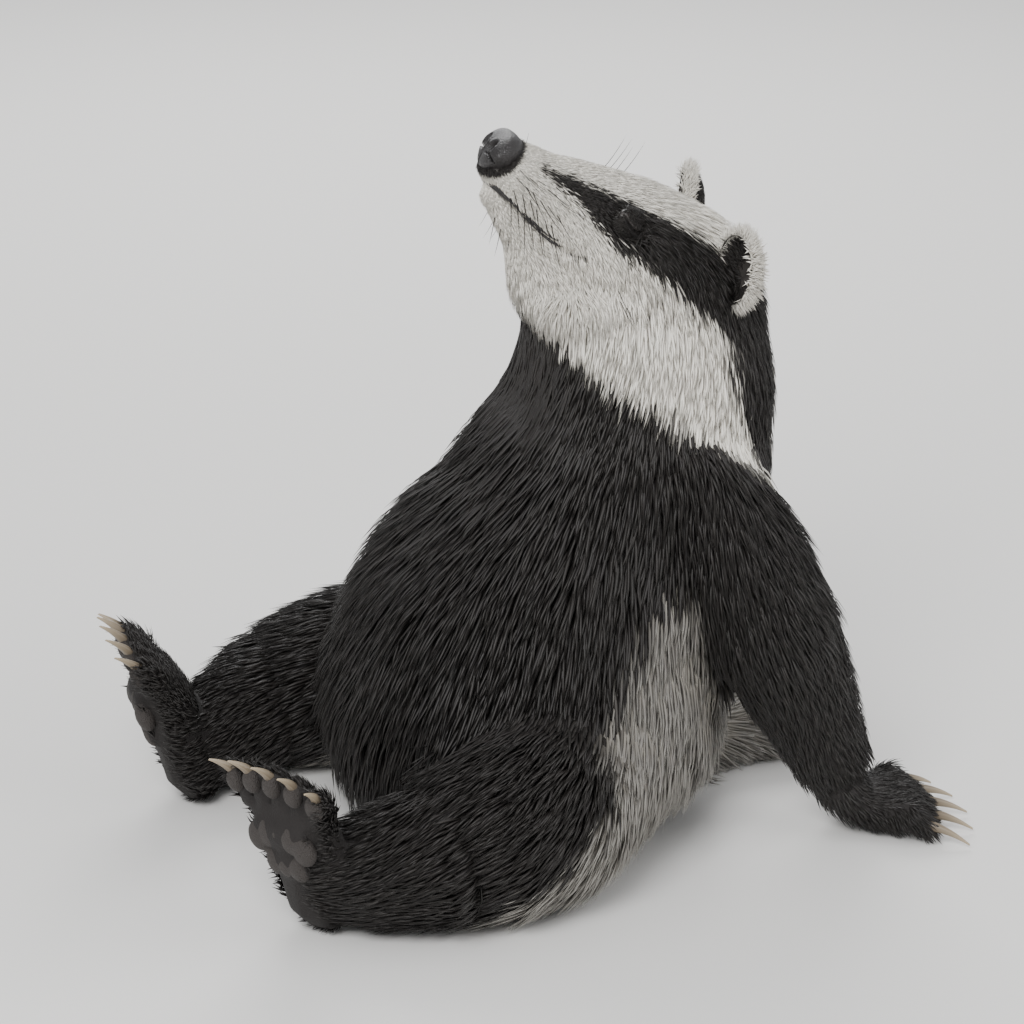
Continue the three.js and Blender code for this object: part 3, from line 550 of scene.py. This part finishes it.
def blades(name, root, normal, lie, patch, length, width, rise, sink, colours, tips=None):
    """One mesh of flat three-sided blades. colours gives a colour for each ring and the tip."""
    rings = len(colours) - 1
    count = len(root)
    width, sink = np.broadcast_to(width, count), np.broadcast_to(sink, count)
    across = np.cross(normal, lie)
    verts = np.empty((count, rings * 3 + 1, 3))
    tint = np.empty((count, rings * 3 + 1, 3))
    for r, share in enumerate(RING_SHARES[rings]):
        centre = root - normal * sink[:, None]
        centre = centre + lie * (length * share)[:, None]
        centre = centre + normal * ((rise + sink) * (1 - (1 - share) ** 2))[:, None]
        if tips is not None:
            centre = centre + tips * share * share
        if r == rings:
            verts[:, -1] = centre
            tint[:, -1] = colours[r]
            continue
        half = (width * RING_WIDTHS[rings][r] / 2)[:, None]
        verts[:, r * 3] = centre - across * half
        verts[:, r * 3 + 1] = centre + across * half
        verts[:, r * 3 + 2] = centre + normal * (0.45 * half)
        tint[:, r * 3:r * 3 + 3] = colours[r][:, None, :]
    tip = rings * 3
    corners, sizes = [], []
    for r in range(rings - 1):
        for k in range(3):
            a, b = r * 3 + k, r * 3 + (k + 1) % 3
            corners += [a, b, b + 3, a + 3]
            sizes.append(4)
    for k in range(3):
        corners += [tip - 3 + k, tip - 3 + (k + 1) % 3, tip]
        sizes.append(3)
    corners += [2, 1, 0]
    sizes.append(3)
    corners, sizes = np.array(corners), np.array(sizes)
    per = rings * 3 + 1
    mesh = bpy.data.meshes.new(name)
    mesh.vertices.add(count * per)
    mesh.vertices.foreach_set("co", verts.astype(np.float32).ravel())
    mesh.loops.add(count * len(corners))
    index = (np.arange(count) * per)[:, None] + corners[None, :]
    mesh.loops.foreach_set("vertex_index", index.astype(np.int32).ravel())
    mesh.polygons.add(count * len(sizes))
    starts = np.concatenate([[0], np.cumsum(sizes)[:-1]])
    begin = (np.arange(count) * len(corners))[:, None] + starts[None, :]
    mesh.polygons.foreach_set("loop_start", begin.astype(np.int32).ravel())
    mesh.update(calc_edges=True)
    mesh.polygons.foreach_set("use_smooth", np.ones(len(mesh.polygons), dtype=bool))
    uv = mesh.uv_layers.new(name="OFBake")
    u = np.where(corners == tip, 1, corners % 3) / 2
    v = corners // 3 / rings
    uvs = patch[:, None, :] + BLADE_ON_UNWRAP * np.stack([u, v], axis=1)[None]
    uv.data.foreach_set("uv", uvs.astype(np.float32).ravel())
    paint(mesh, tint.reshape(-1, 3))
    piece = bpy.data.objects.new(name, mesh)
    bpy.context.collection.objects.link(piece)
    mesh.materials.append(hair_material)
    return piece


def clumped(root, reach, rng, per_clump, pull):
    """How far each tip is drawn towards the middle tip of its clump."""
    count = max(1, len(root) // per_clump)
    chosen = rng.choice(len(root), count, replace=False)
    tree = kdtree.KDTree(count)
    for i, c in enumerate(chosen):
        tree.insert(root[c], i)
    tree.balance()
    nearest = np.array([chosen[tree.find(p)[1]] for p in root])
    return (root[nearest] + reach[nearest] - root - reach) * pull


def coat(name, weights, count, rings, seed, clump=None, wander=0.1):
    """One piece of the coat. clump is how many hairs gather, and how far they are drawn together."""
    rng = np.random.default_rng(seed)
    root, normal, patch = hide.scattered(weights, count, rng)
    lie = lie_of(root, normal, rng, wander)
    sizes = bone_shares(root) @ BONE_COAT
    length = sizes[:, 0] / 1000 * rng.uniform(0.75, 1.2, count)
    width = sizes[:, 1] / 1000 * rng.uniform(0.8, 1.2, count)
    rise = length * sizes[:, 2] * rng.uniform(0.6, 1.35, count)
    floor_room = root[:, 2] - 0.002
    rise = np.where(normal[:, 2] < -0.3, np.minimum(rise, np.maximum(floor_room, 0.0005)), rise)
    tips = None
    if clump:
        tips = clumped(root, lie * length[:, None] + normal * rise[:, None], rng, *clump)
    marks = markings(root, rng)
    tone = rng.uniform(0.82, 1.12, count)
    colours = [hair_colours(marks, share, tone) for share in RING_SHARES[rings]]
    sink = np.clip(0.08 * length, 0.0003, 0.0012)
    piece = blades(name, root, normal, lie, patch, length, width, rise, sink, colours, tips)
    points = places(piece.data)
    points[:, 2] = np.maximum(points[:, 2], 0.0006)
    put_places(piece.data, points)
    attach(piece, "root")


# The soles, the lips, the lids and the skin under the nose pad are bare, and so is what lies on the floor
hide_shares = bone_shares(hide.middle)
on_face = head_sizes(hide.middle)
bare = (from_pad(*on_face) < 1.02) | (from_mouth(*on_face) < 2.2) | (hide.middle[:, 2] < 0.0008)
for foot, (_, sign) in zip(FOOT, SIDES):
    facing = unit(turned(hide.facing, foot_place(sign).inverted()))
    bare |= (hide_shares[:, foot] > 0.5) & (facing[:, 0] < -0.35)
    eye = np.array(on_head(88, sign * 45, 20))
    bare |= np.linalg.norm(hide.middle - eye, axis=1) < 0.0085
furred = (~bare).astype(float)
head_part = hide_shares[:, MUZZLE:NECK].sum(axis=1) > 0.5
muzzle_part = head_part & (hide_shares[:, MUZZLE] > 0.5)
crown_part = head_part & ~muzzle_part & (hide_shares[:, CROWN] > 0.45)
cheek_part = head_part & ~muzzle_part & ~crown_part
neck_part = ~head_part & (hide_shares[:, NECK] > 0.4)
tail_part = hide_shares[:, TAIL] > 0.5
upper_part = hide_shares[:, CHEST] > 0.4
lower_part = hide_shares[:, [BELLY, RUMP]].sum(axis=1) > 0.5
trunk_part = head_part | neck_part | tail_part | upper_part | lower_part
foot_part = hide_shares[:, PAW + FOOT].sum(axis=1) > 0.5
arm_part = ~trunk_part & ~foot_part & (hide.middle[:, 0] > 0.06)
leg_part = ~trunk_part & ~foot_part & ~arm_part
behind = hide.middle[:, 0] > np.interp(hide.middle[:, 2], [0.1, 0.23, 0.34], [0.0, 0.04, 0.09])

coat("coat_muzzle", furred * muzzle_part, 9500, 2, 21, wander=0.12)
coat("coat_cheeks", furred * cheek_part, 14000, 2, 22)
coat("coat_crown", furred * crown_part, 11000, 2, 32)
coat("coat_neck", furred * neck_part, 9000, 3, 23, (12, 0.22))
coat("coat_upper_back", furred * (upper_part & behind), 8200, 3, 24, (12, 0.3))
coat("coat_chest", furred * (upper_part & ~behind), 8700, 3, 25, (12, 0.25))
coat("coat_rump", furred * (lower_part & behind), 9700, 3, 26, (12, 0.3))
coat("coat_belly", furred * (lower_part & ~behind), 8200, 3, 27, (12, 0.25))
coat("coat_tail", furred * tail_part, 3800, 3, 28, (10, 0.3))
coat("coat_arms", furred * arm_part, 12000, 2, 29, (9, 0.2))
coat("coat_legs", furred * leg_part, 12500, 2, 30, (9, 0.2))
coat("coat_feet", furred * foot_part, 10000, 2, 31, wander=0.12)

# Nose: a bare black pad of moist, finely grained skin at the tip of the muzzle, with comma nostrils and a
# groove down its middle. It is shaped from a ball and set into its seat in the skin.
def leather(name, colour, rough, scale, bump):
    made = bpy.data.materials.new(name)
    made.use_nodes = True
    shader = made.node_tree.nodes["Principled BSDF"]
    shader.inputs["Base Color"].default_value = (*colour, 1)
    shader.inputs["Roughness"].default_value = rough
    grained(made, "ShaderNodeTexVoronoi", "Distance", scale, bump, 0.8)
    return made


def round_piece(name, segments, rings):
    """A ball of radius 1 to shape, with its poles to the front and back (X), as arrays and an object."""
    bpy.ops.mesh.primitive_uv_sphere_add(segments=segments, ring_count=rings, rotation=(0, math.pi / 2, 0))
    piece = bpy.context.active_object
    bpy.ops.object.transform_apply(location=False, rotation=True, scale=False)
    piece.name = piece.data.name = name
    return piece, places(piece.data).T


def placed(piece, place, x, y, z):
    """Puts the shaped points where they belong, with the faces outward."""
    put_places(piece.data, moved(np.stack([x, y, z], axis=1), place))
    unwrapped(piece)
    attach(piece, "root")


def dent(across, along, half_across, half_along):
    """1 in the middle of an oval and 0 outside it, with a soft edge."""
    return np.exp(-(((across / half_across) ** 2 + (along / half_along) ** 2) ** 2))


nose, (front, side, up) = round_piece("nose_pad", 144, 104)
side = np.sign(side) * np.abs(side) ** 0.84 * (18.8 - 6.2 * ramp(-up, 0.05, 1))
up = 4 + 14.0 * np.sign(up) * np.abs(up) ** 0.86
fore = np.where(front > 0, 7.4 * np.abs(front) ** 0.5, -12.5 * np.abs(front)) - 2.2 * ramp(up, 6, 17)
outward = np.abs(side)
opening = dent(outward - 6.9 - 0.25 * (up - 4), up - 4.2, 3.3, 4.3)
comma = dent(outward - 11.6, up + 0.2 + 0.32 * (outward - 11.6), 5.0, 1.05)
nostril = np.minimum(opening + 0.75 * comma, 1)
wing = dent(outward - 7.2, up - 4.4, 6.4, 7.6) - dent(outward - 6.9, up - 4.2, 3.9, 5.0)
groove = np.exp(-((side / 0.75) ** 2)) * ramp(5.5 - up, 0, 3)
facing_front = ramp(front, 0.05, 0.3)
fore = fore + facing_front * (0.9 * wing - 6.5 * nostril - 1.7 * groove)
placed(nose, HEAD_PLACE, NOSE_REACH - 9.5 + fore, side, up)
nose_leather = leather("nose_leather", (0.013, 0.011, 0.011), 0.36, 1100, 0.0005)
nose.data.materials.append(nose_leather)
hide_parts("nose")

# Lips: two thin black bare edges that run back from under the nose and turn up at the corner of the
# mouth. Each is a tapered cord of the nose's skin, laid on the hide along one side of the groove.
LIP_RAISED = 0.0013
skin_places, skin_normals = places(skin.data), normals_of(skin.data)


def on_skin(back, side, up):
    """The nearest place on the skin, and the skin's normal there."""
    nearest = np.argmin(np.linalg.norm(skin_places - np.array(on_head(back, side, up)), axis=1))
    return skin_places[nearest], skin_normals[nearest]


for edge, offset, thick in (("upper", 1.15, 0.00135), ("lower", -1.35, 0.0012)):
    right = [(14.5, 4, -12), (15.5, 7.5, -12.4)] + [(b, *mouth_line(b)) for b in np.arange(17, 76, 2.5)]
    left = [(b, -s, u) for b, s, u in reversed(right)]
    spots = [on_skin(b, s, u + offset) for b, s, u in left + [(14, 0, -11.8)] + right]
    path = np.array([place + LIP_RAISED * normal for place, normal in spots])
    for _ in range(4):
        path[1:-1] = 0.5 * path[1:-1] + 0.25 * (path[:-2] + path[2:])
    cord = bpy.data.curves.new(f"lip_{edge}", "CURVE")
    cord.dimensions = "3D"
    cord.bevel_depth = thick
    cord.bevel_resolution = 4
    cord.use_fill_caps = True
    spline = cord.splines.new("POLY")
    spline.points.add(len(path) - 1)
    for i, place in enumerate(path):
        spline.points[i].co = (*place, 1)
        end = min(i, len(path) - 1 - i) / 6
        spline.points[i].radius = 0.25 + 0.75 * min(1, end)
    lip = bpy.data.objects.new(f"lip_{edge}", cord)
    bpy.context.collection.objects.link(lip)
    select_only(lip)
    bpy.ops.object.convert(target="MESH")
    lip = bpy.context.active_object
    bpy.ops.object.shade_smooth()
    lip.data.materials.append(nose_leather)
    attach(lip, "root")

# Eyes: closed, a low swelling under two dark lids of bare skin with short hair. The lids meet in a slit
# that sags in its middle, each with a moist edge, and the upper one is creased and edged with lashes.
lid_skin = leather("lid_skin", (0.052, 0.046, 0.043), 0.34, 1900, 0.0003)
EYE = {"back": 88, "side": 42.2, "up": 19, "long": 12, "deep": 4.9, "high": 8.6}
LASHES = 34


def above_slit(along, above):
    return above + 2.4 - 0.032 * along**2


def grown(name, root, normal, patch, lie, length, width, lift, colours):
    """Hair on a piece of its own, each hair with its own way to lie."""
    lie = square_to(lie, normal)
    piece = blades(name, root, normal, lie, patch, length, width, lift * length, 0.0005, colours)
    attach(piece, "root")


for name, sign in SIDES:
    lids, (front, out, up) = round_piece(f"lids_{name}", 104, 76)
    place = (
        HEAD_PLACE
        @ Matrix.Translation((NOSE_REACH - EYE["back"], sign * EYE["side"], EYE["up"]))
        @ Matrix.Rotation(sign * 0.25, 4, "X")
        @ Matrix.Rotation(sign * 0.42, 4, "Z")
    )
    along, above = EYE["long"] * front, EYE["high"] * up
    slit = above_slit(along, above)
    edge = ramp(11.2 - np.abs(along), 0, 1.5) * (out * sign > 0)
    lift = (
        0.7 * ramp(slit, -0.1, 0.5) * ramp(4.2 - slit, 0, 3.2)
        + 0.5 * np.exp(-(((np.abs(slit) - 1.3) / 0.6) ** 2))
        - 2.4 * np.exp(-((slit / 0.55) ** 2))
        - 0.8 * np.exp(-(((slit - 5.2) / 0.7) ** 2))
    )
    placed(lids, place, along, EYE["deep"] * out + sign * edge * lift, above)
    lids.data.materials.append(lid_skin)
    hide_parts(f"eye_{name}")

    rng = np.random.default_rng(41 + sign)
    lid = Surface(lids)
    along, outward, above = moved(lid.middle, place.inverted()).T
    from_slit = above_slit(along, above)
    hairy = (outward * sign > 0) & ((from_slit > 3.0) | (from_slit < -2.4))
    root, normal, patch = lid.scattered(hairy.astype(float), 1300, rng)
    lie = turned(np.array([-1, 0, 0.1]), HEAD_PLACE) + rng.normal(0, 0.15, root.shape)
    black = BLACK_HAIR * rng.uniform(0.8, 1.3, len(root))[:, None]
    length = rng.uniform(0.0035, 0.006, len(root))
    grown(f"coat_lids_{name}", root, normal, patch, lie, length, 0.0008, 0.16, [black] * 3)

    along = np.linspace(-9, 9.5, LASHES)
    above = 0.7 - above_slit(along, 0)
    shell = np.sqrt(np.maximum(1 - (along / EYE["long"]) ** 2 - (above / EYE["high"]) ** 2, 0))
    root = moved(np.stack([along, sign * (EYE["deep"] * shell + 0.3), above], axis=1), place)
    way = np.stack([along * 0.045 - 0.25, np.full(LASHES, 1.0 * sign), np.full(LASHES, -0.62)], axis=1)
    way = unit(turned(way, place))
    bend = square_to(turned(np.array([0, 0, -1.0]), place), way)
    length = rng.uniform(0.006, 0.0085, LASHES)
    patch = 0.5 + rng.uniform(-0.2, 0.2, (LASHES, 2))
    dark = [np.tile(BLACK_HAIR * 0.8, (LASHES, 1))] * 4
    lashes = blades(f"lashes_{name}", root, bend, way, patch, length, 0.0005, 0.3 * length, 0, dark)
    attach(lashes, "root")

# Ears: short round cups of thin skin with a fold at the front of the rim, black with short fur on the
# back, sparse hair inside and a fringe of longer white hair round the rim.
EAR = {"back": 150, "side": 65, "up": 35, "wide": 19, "tall": 23, "deep": 12}
for name, sign in SIDES:
    ear, (front, out, up) = round_piece(f"ear_{name}_skin", 96, 72)
    place = (
        HEAD_PLACE
        @ Matrix.Translation((NOSE_REACH - EAR["back"], sign * EAR["side"], EAR["up"]))
        @ Matrix.Rotation(sign * -0.62, 4, "X")
        @ Matrix.Rotation(0.32, 4, "Y")
        @ Matrix.Rotation(sign * 0.5, 4, "Z")
    )
    hollow = 0.4 - (EAR["deep"] - 2.6) * np.abs(front) ** 1.15
    cup = np.where(front < 0, -EAR["deep"] * np.abs(front), hollow)
    fold = 2.4 * dent(out * sign - 0.15, up + 0.45, 0.16, 0.34) * (front > 0)
    roll = 2.2 * np.exp(-((front / 0.22) ** 2))
    wide = EAR["wide"] * (1 + 0.08 * up)
    placed(ear, place, cup + fold + roll, wide * out, EAR["tall"] * up)
    rng = np.random.default_rng(51 + sign)
    paint(ear.data, np.tile(BLACK_HAIR * 1.6, (len(ear.data.vertices), 1)))
    ear.data.materials.append(coat_material(f"ear_hide_{name}", 0.8, 0.0006))
    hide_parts(f"ear_{name}")

    hide_of_ear = Surface(ear)
    inside = turned(hide_of_ear.facing, place.inverted())[:, 0] > 0
    _, out, up = moved(hide_of_ear.middle, place.inverted()).T
    off_centre = np.hypot(out / EAR["wide"], up / EAR["tall"])
    wall = inside & (off_centre > 0.3) & (off_centre < 0.9)
    rim = (off_centre > 0.92) & (up > -14)
    # Each kind of hair: its name, where it grows, how many, length, width, lift and slot
    kinds = (
        ("back", ~inside, 3000, (0.007, 0.011), 0.0014, 0.16, "black_coat"),
        ("inner", wall, 900, (0.006, 0.010), 0.0008, 0.3, "black_coat"),
        ("fringe", rim, 1500, (0.006, 0.012), 0.0010, 0.1, "white_coat"),
    )
    for kind, where, count, reach, width, lift, slot in kinds:
        root, normal, patch = hide_of_ear.scattered(where.astype(float), count, rng)
        _, out, up = moved(root, place.inverted()).T
        radial = unit(np.stack([out / EAR["wide"] ** 2, up / EAR["tall"] ** 2 + 0.012], axis=1))
        lie = unit(turned(np.stack([np.full(count, -0.25), *radial.T], axis=1), place))
        lie += rng.normal(0, 0.16, lie.shape)
        to_rim = np.hypot(out / EAR["wide"], up / EAR["tall"]) + rng.normal(0, 0.04, count)
        white = ramp(to_rim, 0.86, 0.93) * ramp(up, -10, -4)
        if kind == "fringe":
            white = ramp(up, -16, -8)
            normal = unit(np.cross(np.cross(lie, normal), lie))
        shares = (white, 1 - white, np.zeros(count))
        tone = rng.uniform(0.8, 1.1, count)
        colours = [hair_colours(shares, share, tone) for share in RING_SHARES[2]]
        length = rng.uniform(*reach, count)
        grown(f"coat_ear_{name}_{kind}", root, normal, patch, lie, length, width, lift, colours)

# Whiskers: stiff tapered black hairs in rows along the upper lips, and a few on the chin, the brows and
# the cheeks. Each is rooted in the skin and droops a little.
WHISKERS = (
    # rows of roots: back, side, up; steps from one to the next; how many; the way out; length
    ((20, 18, 4), (6, 2.0, 0.4), 6, (-0.1, 1.0, 0.30), 0.050),
    ((22, 18, -1), (6, 1.8, -0.4), 6, (-0.1, 1.0, 0.05), 0.056),
    ((24, 18, -6), (6, 1.6, -0.6), 6, (-0.15, 1.0, -0.2), 0.052),
    ((26, 17, -11), (6, 1.4, -0.8), 5, (-0.2, 0.9, -0.45), 0.042),
    ((30, 8, -26), (7, 1.5, -1.0), 3, (-0.2, 0.6, -0.9), 0.026),
    ((76, 32, 30), (5, 3.0, 0.0), 4, (-0.1, 0.6, 0.9), 0.042),
    ((96, 56, -14), (5, 0.5, -2.0), 3, (-0.2, 1.0, -0.1), 0.044),
)
rng = np.random.default_rng(61)
rooted = []
for first, step, count, way, length in WHISKERS:
    for _, sign in SIDES:
        for i in range(count):
            back, side, up = (f + s * i + rng.normal(0, 0.6) for f, s in zip(first, step))
            place, normal = on_skin(back, sign * side, up)
            out = turned(np.array([way[0], sign * way[1], way[2] + rng.normal(0, 0.08)]), HEAD_PLACE)
            rooted.append((place - 0.001 * normal, out, length * rng.uniform(0.7, 1.15)))
root, way, length = (np.array(column) for column in zip(*rooted))
way = unit(way)
bend = square_to(np.array([0, 0, -1.0]), way)
patch = rng.uniform(0.3, 0.7, (len(root), 2))
dark = [np.tile(BLACK_HAIR, (len(root), 1))] * 7
whiskers = blades("whiskers", root, bend, way, patch, length, 0.00075, 0.16 * length, 0, dark)
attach(whiskers, "root")

# Claws: long horn claws, five to a foot, curved down, flat below and blunt at the tip. One is shaped and
# each foot's are copied from it at one size, set at the end of each toe, the middle toes the longest.
horn = bpy.data.materials.new("claw_horn")
horn.use_nodes = True
nodes, links = horn.node_tree.nodes, horn.node_tree.links
along_claw = nodes.new("ShaderNodeVertexColor")
along_claw.layer_name = "horn_colour"
links.new(along_claw.outputs["Color"], nodes["Principled BSDF"].inputs["Base Color"])
nodes["Principled BSDF"].inputs["Roughness"].default_value = 0.36
ROOT_HORN = np.array([0.075, 0.058, 0.042])
TIP_HORN = np.array([0.42, 0.34, 0.235])
claw_shape, (front, side, up) = round_piece("claw", 24, 40)
CLAW_ALONG = (front + 1) / 2  # 0 at the root and 1 at the tip
round_root = np.sqrt(np.clip(1 - (1 - ramp(CLAW_ALONG, 0, 0.16)) ** 2, 0, 1))
taper = round_root * (1 - 0.82 * CLAW_ALONG**1.15)
around = np.hypot(side, up) + 1e-9
off_axis = around > 1e-6
CLAW_SIDE = 0.72 * taper * side / around * off_axis
CLAW_UP = taper * np.where(up < 0, 0.7, 1.0) * up / around * off_axis

# The toes of a foot: how many, their spread in degrees, and the width of the row in millimetres
FORE_TOES, HIND_TOES = (5, 56, 54), (5, 36, 53)
HIND_BALL = 93  # along the hind foot, from its heel to the roots of its toes
HIND_TOE = 27  # the length of its middle toe


def fan(count, spread, widest):
    """Turn, offset and share of the length of each toe, from the inner one to the outer one."""
    for i in range(count):
        share = i / (count - 1) - 0.5
        yield math.radians(spread) * share, widest * share, 1 - 0.9 * share**2


def claw(name, place, root, heading, down, length, size):
    """A copy of the claw with its root, its way and its bend in the millimetres of its foot."""
    piece = bpy.data.objects.new(f"{name}_horn", claw_shape.data.copy())
    piece.data.name = piece.name
    bpy.context.collection.objects.link(piece)
    heading, down = heading.normalized(), down.normalized()
    across = heading.cross(down).normalized()
    rise = across.cross(heading).normalized()
    if rise.dot(down) > 0:
        rise.negate()
    path = np.outer(CLAW_ALONG * length, heading) + np.outer(0.3 * length * CLAW_ALONG**2, down)
    section = np.outer(CLAW_SIDE * size, across) + np.outer(CLAW_UP * size, rise)
    placed(piece, place, *(np.array(root) + path + section).T)
    streak = 0.9 + 0.14 * np.sin(9 * np.arctan2(CLAW_UP, CLAW_SIDE))
    shade = ROOT_HORN * (1 - CLAW_ALONG[:, None]) + TIP_HORN * CLAW_ALONG[:, None]
    paint(piece.data, shade * streak[:, None], "horn_colour")
    piece.data.materials.append(horn)
    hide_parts(name)


for name, sign in SIDES:
    for i, (turn, offset, long) in enumerate(fan(*FORE_TOES)):
        heading = Vector((math.cos(turn), math.sin(turn), 0))
        root = Vector((14, offset, -3)) + heading * (25 * long + 3)
        claw(f"claw_fore_{name}_{i + 1}", paw_place(sign), root, heading, Vector((0, 0, -1)), 33, 4.9)
    for i, (turn, offset, long) in enumerate(fan(*HIND_TOES)):
        heading = Vector((-0.3, math.sin(turn), math.cos(turn)))
        root = Vector((-3, offset, HIND_BALL)) + heading.normalized() * (HIND_TOE * long + 1)
        claw(f"claw_hind_{name}_{i + 1}", foot_place(sign), root, heading, Vector((-1, 0, -0.2)), 20, 4.3)
bpy.data.objects.remove(claw_shape)

# Pads: thick dark leather on the soles of the hind feet, a broad lobed one across each foot, one behind it
# and one to each toe. Each foot's are lobes run together into one piece.
pad_leather = leather("pad_leather", (0.034, 0.028, 0.025), 0.68, 1100, 0.0010)
for name, sign in SIDES:
    # Each lobe: its place off the sole, to the side and along it, and its three half sizes
    lobes = []
    for offset in (-18, -9, 0, 9, 18):
        lobes.append((-15.5 - 0.003 * offset**2, offset, 83 - 0.02 * offset**2, 6.4, 8, 11))
    lobes += [(-16.5, offset, 60, 5.6, 7.5, 10) for offset in (-9, 0, 9)]
    for turn, offset, long in fan(*HIND_TOES):
        heading = Vector((-0.16, math.sin(turn), math.cos(turn)))
        tip = Vector((-3, offset, HIND_BALL)) + heading * (HIND_TOE * long * 0.86)
        lobes.append((tip.x - 5.5, tip.y, tip.z, 5.5, 6.3, 8.5))
    made = []
    for x, y, z, *radii in lobes:
        bpy.ops.mesh.primitive_uv_sphere_add(segments=24, ring_count=16)
        lobe = bpy.context.active_object
        put_places(lobe.data, places(lobe.data) * radii + (x, y, z))
        made.append(lobe)
    bpy.ops.object.select_all(action="DESELECT")
    for lobe in made:
        lobe.select_set(True)
    bpy.ops.object.join()
    pads = bpy.context.active_object
    pads.location = (0, 0, 0)
    pads.data.remesh_voxel_size = 1.1
    bpy.ops.object.voxel_remesh()
    relaxed(pads.data, np.full(len(pads.data.vertices), 0.5), 8)
    pads.name = pads.data.name = f"sole_pads_{name}"
    placed(pads, foot_place(sign), *places(pads.data).T)
    pads.data.materials.append(pad_leather)

# Floor, light and camera: a wide pale floor, three large soft lamps round the badger, and a long lens that
# looks from the picture's side and height. None of them is part of the badger.
bpy.ops.mesh.primitive_plane_add(size=60, location=(0, 0, 0))
floor = bpy.context.active_object
floor.name = "floor"
floor_paint = bpy.data.materials.new("pale_floor")
floor_paint.use_nodes = True
shader = floor_paint.node_tree.nodes["Principled BSDF"]
shader.inputs["Base Color"].default_value = (0.80, 0.79, 0.77, 1)
shader.inputs["Roughness"].default_value = 0.9
floor.data.materials.append(floor_paint)

AIM = Vector((-0.014, 0, 0.237))


def soft_light(name, place, size, watts):
    data = bpy.data.lights.new(name, "AREA")
    data.size = size
    data.energy = watts
    lamp = bpy.data.objects.new(name, data)
    lamp.location = place
    lamp.rotation_euler = (AIM - Vector(place)).to_track_quat("-Z", "Y").to_euler()
    bpy.context.collection.objects.link(lamp)


soft_light("key_light", (-1.6, -1.9, 2.2), 1.4, 92)
soft_light("fill_light", (1.9, -1.4, 1.3), 2.0, 26)
soft_light("rim_light", (0.8, 2.2, 1.9), 1.6, 55)
world = bpy.data.worlds.new("studio")
world.use_nodes = True
sky = world.node_tree.nodes["Background"]
sky.inputs["Color"].default_value = (0.93, 0.94, 0.96, 1)
sky.inputs["Strength"].default_value = 0.68
bpy.context.scene.world = world

AZIMUTH, ELEVATION, DISTANCE = math.radians(-25), math.radians(20), 3.0
SENSOR = 36
FIELD = 0.742  # metres across the picture, at the badger
camera_data = bpy.data.cameras.new("camera")
camera_data.lens = SENSOR * DISTANCE / FIELD
camera_data.sensor_width = SENSOR
camera = bpy.data.objects.new("camera", camera_data)
away = Vector((
    math.sin(AZIMUTH) * math.cos(ELEVATION),
    -math.cos(AZIMUTH) * math.cos(ELEVATION),
    math.sin(ELEVATION),
))
camera.location = AIM + away * DISTANCE
camera.rotation_euler = (-away).to_track_quat("-Z", "Y").to_euler()
bpy.context.collection.objects.link(camera)
bpy.context.scene.camera = camera
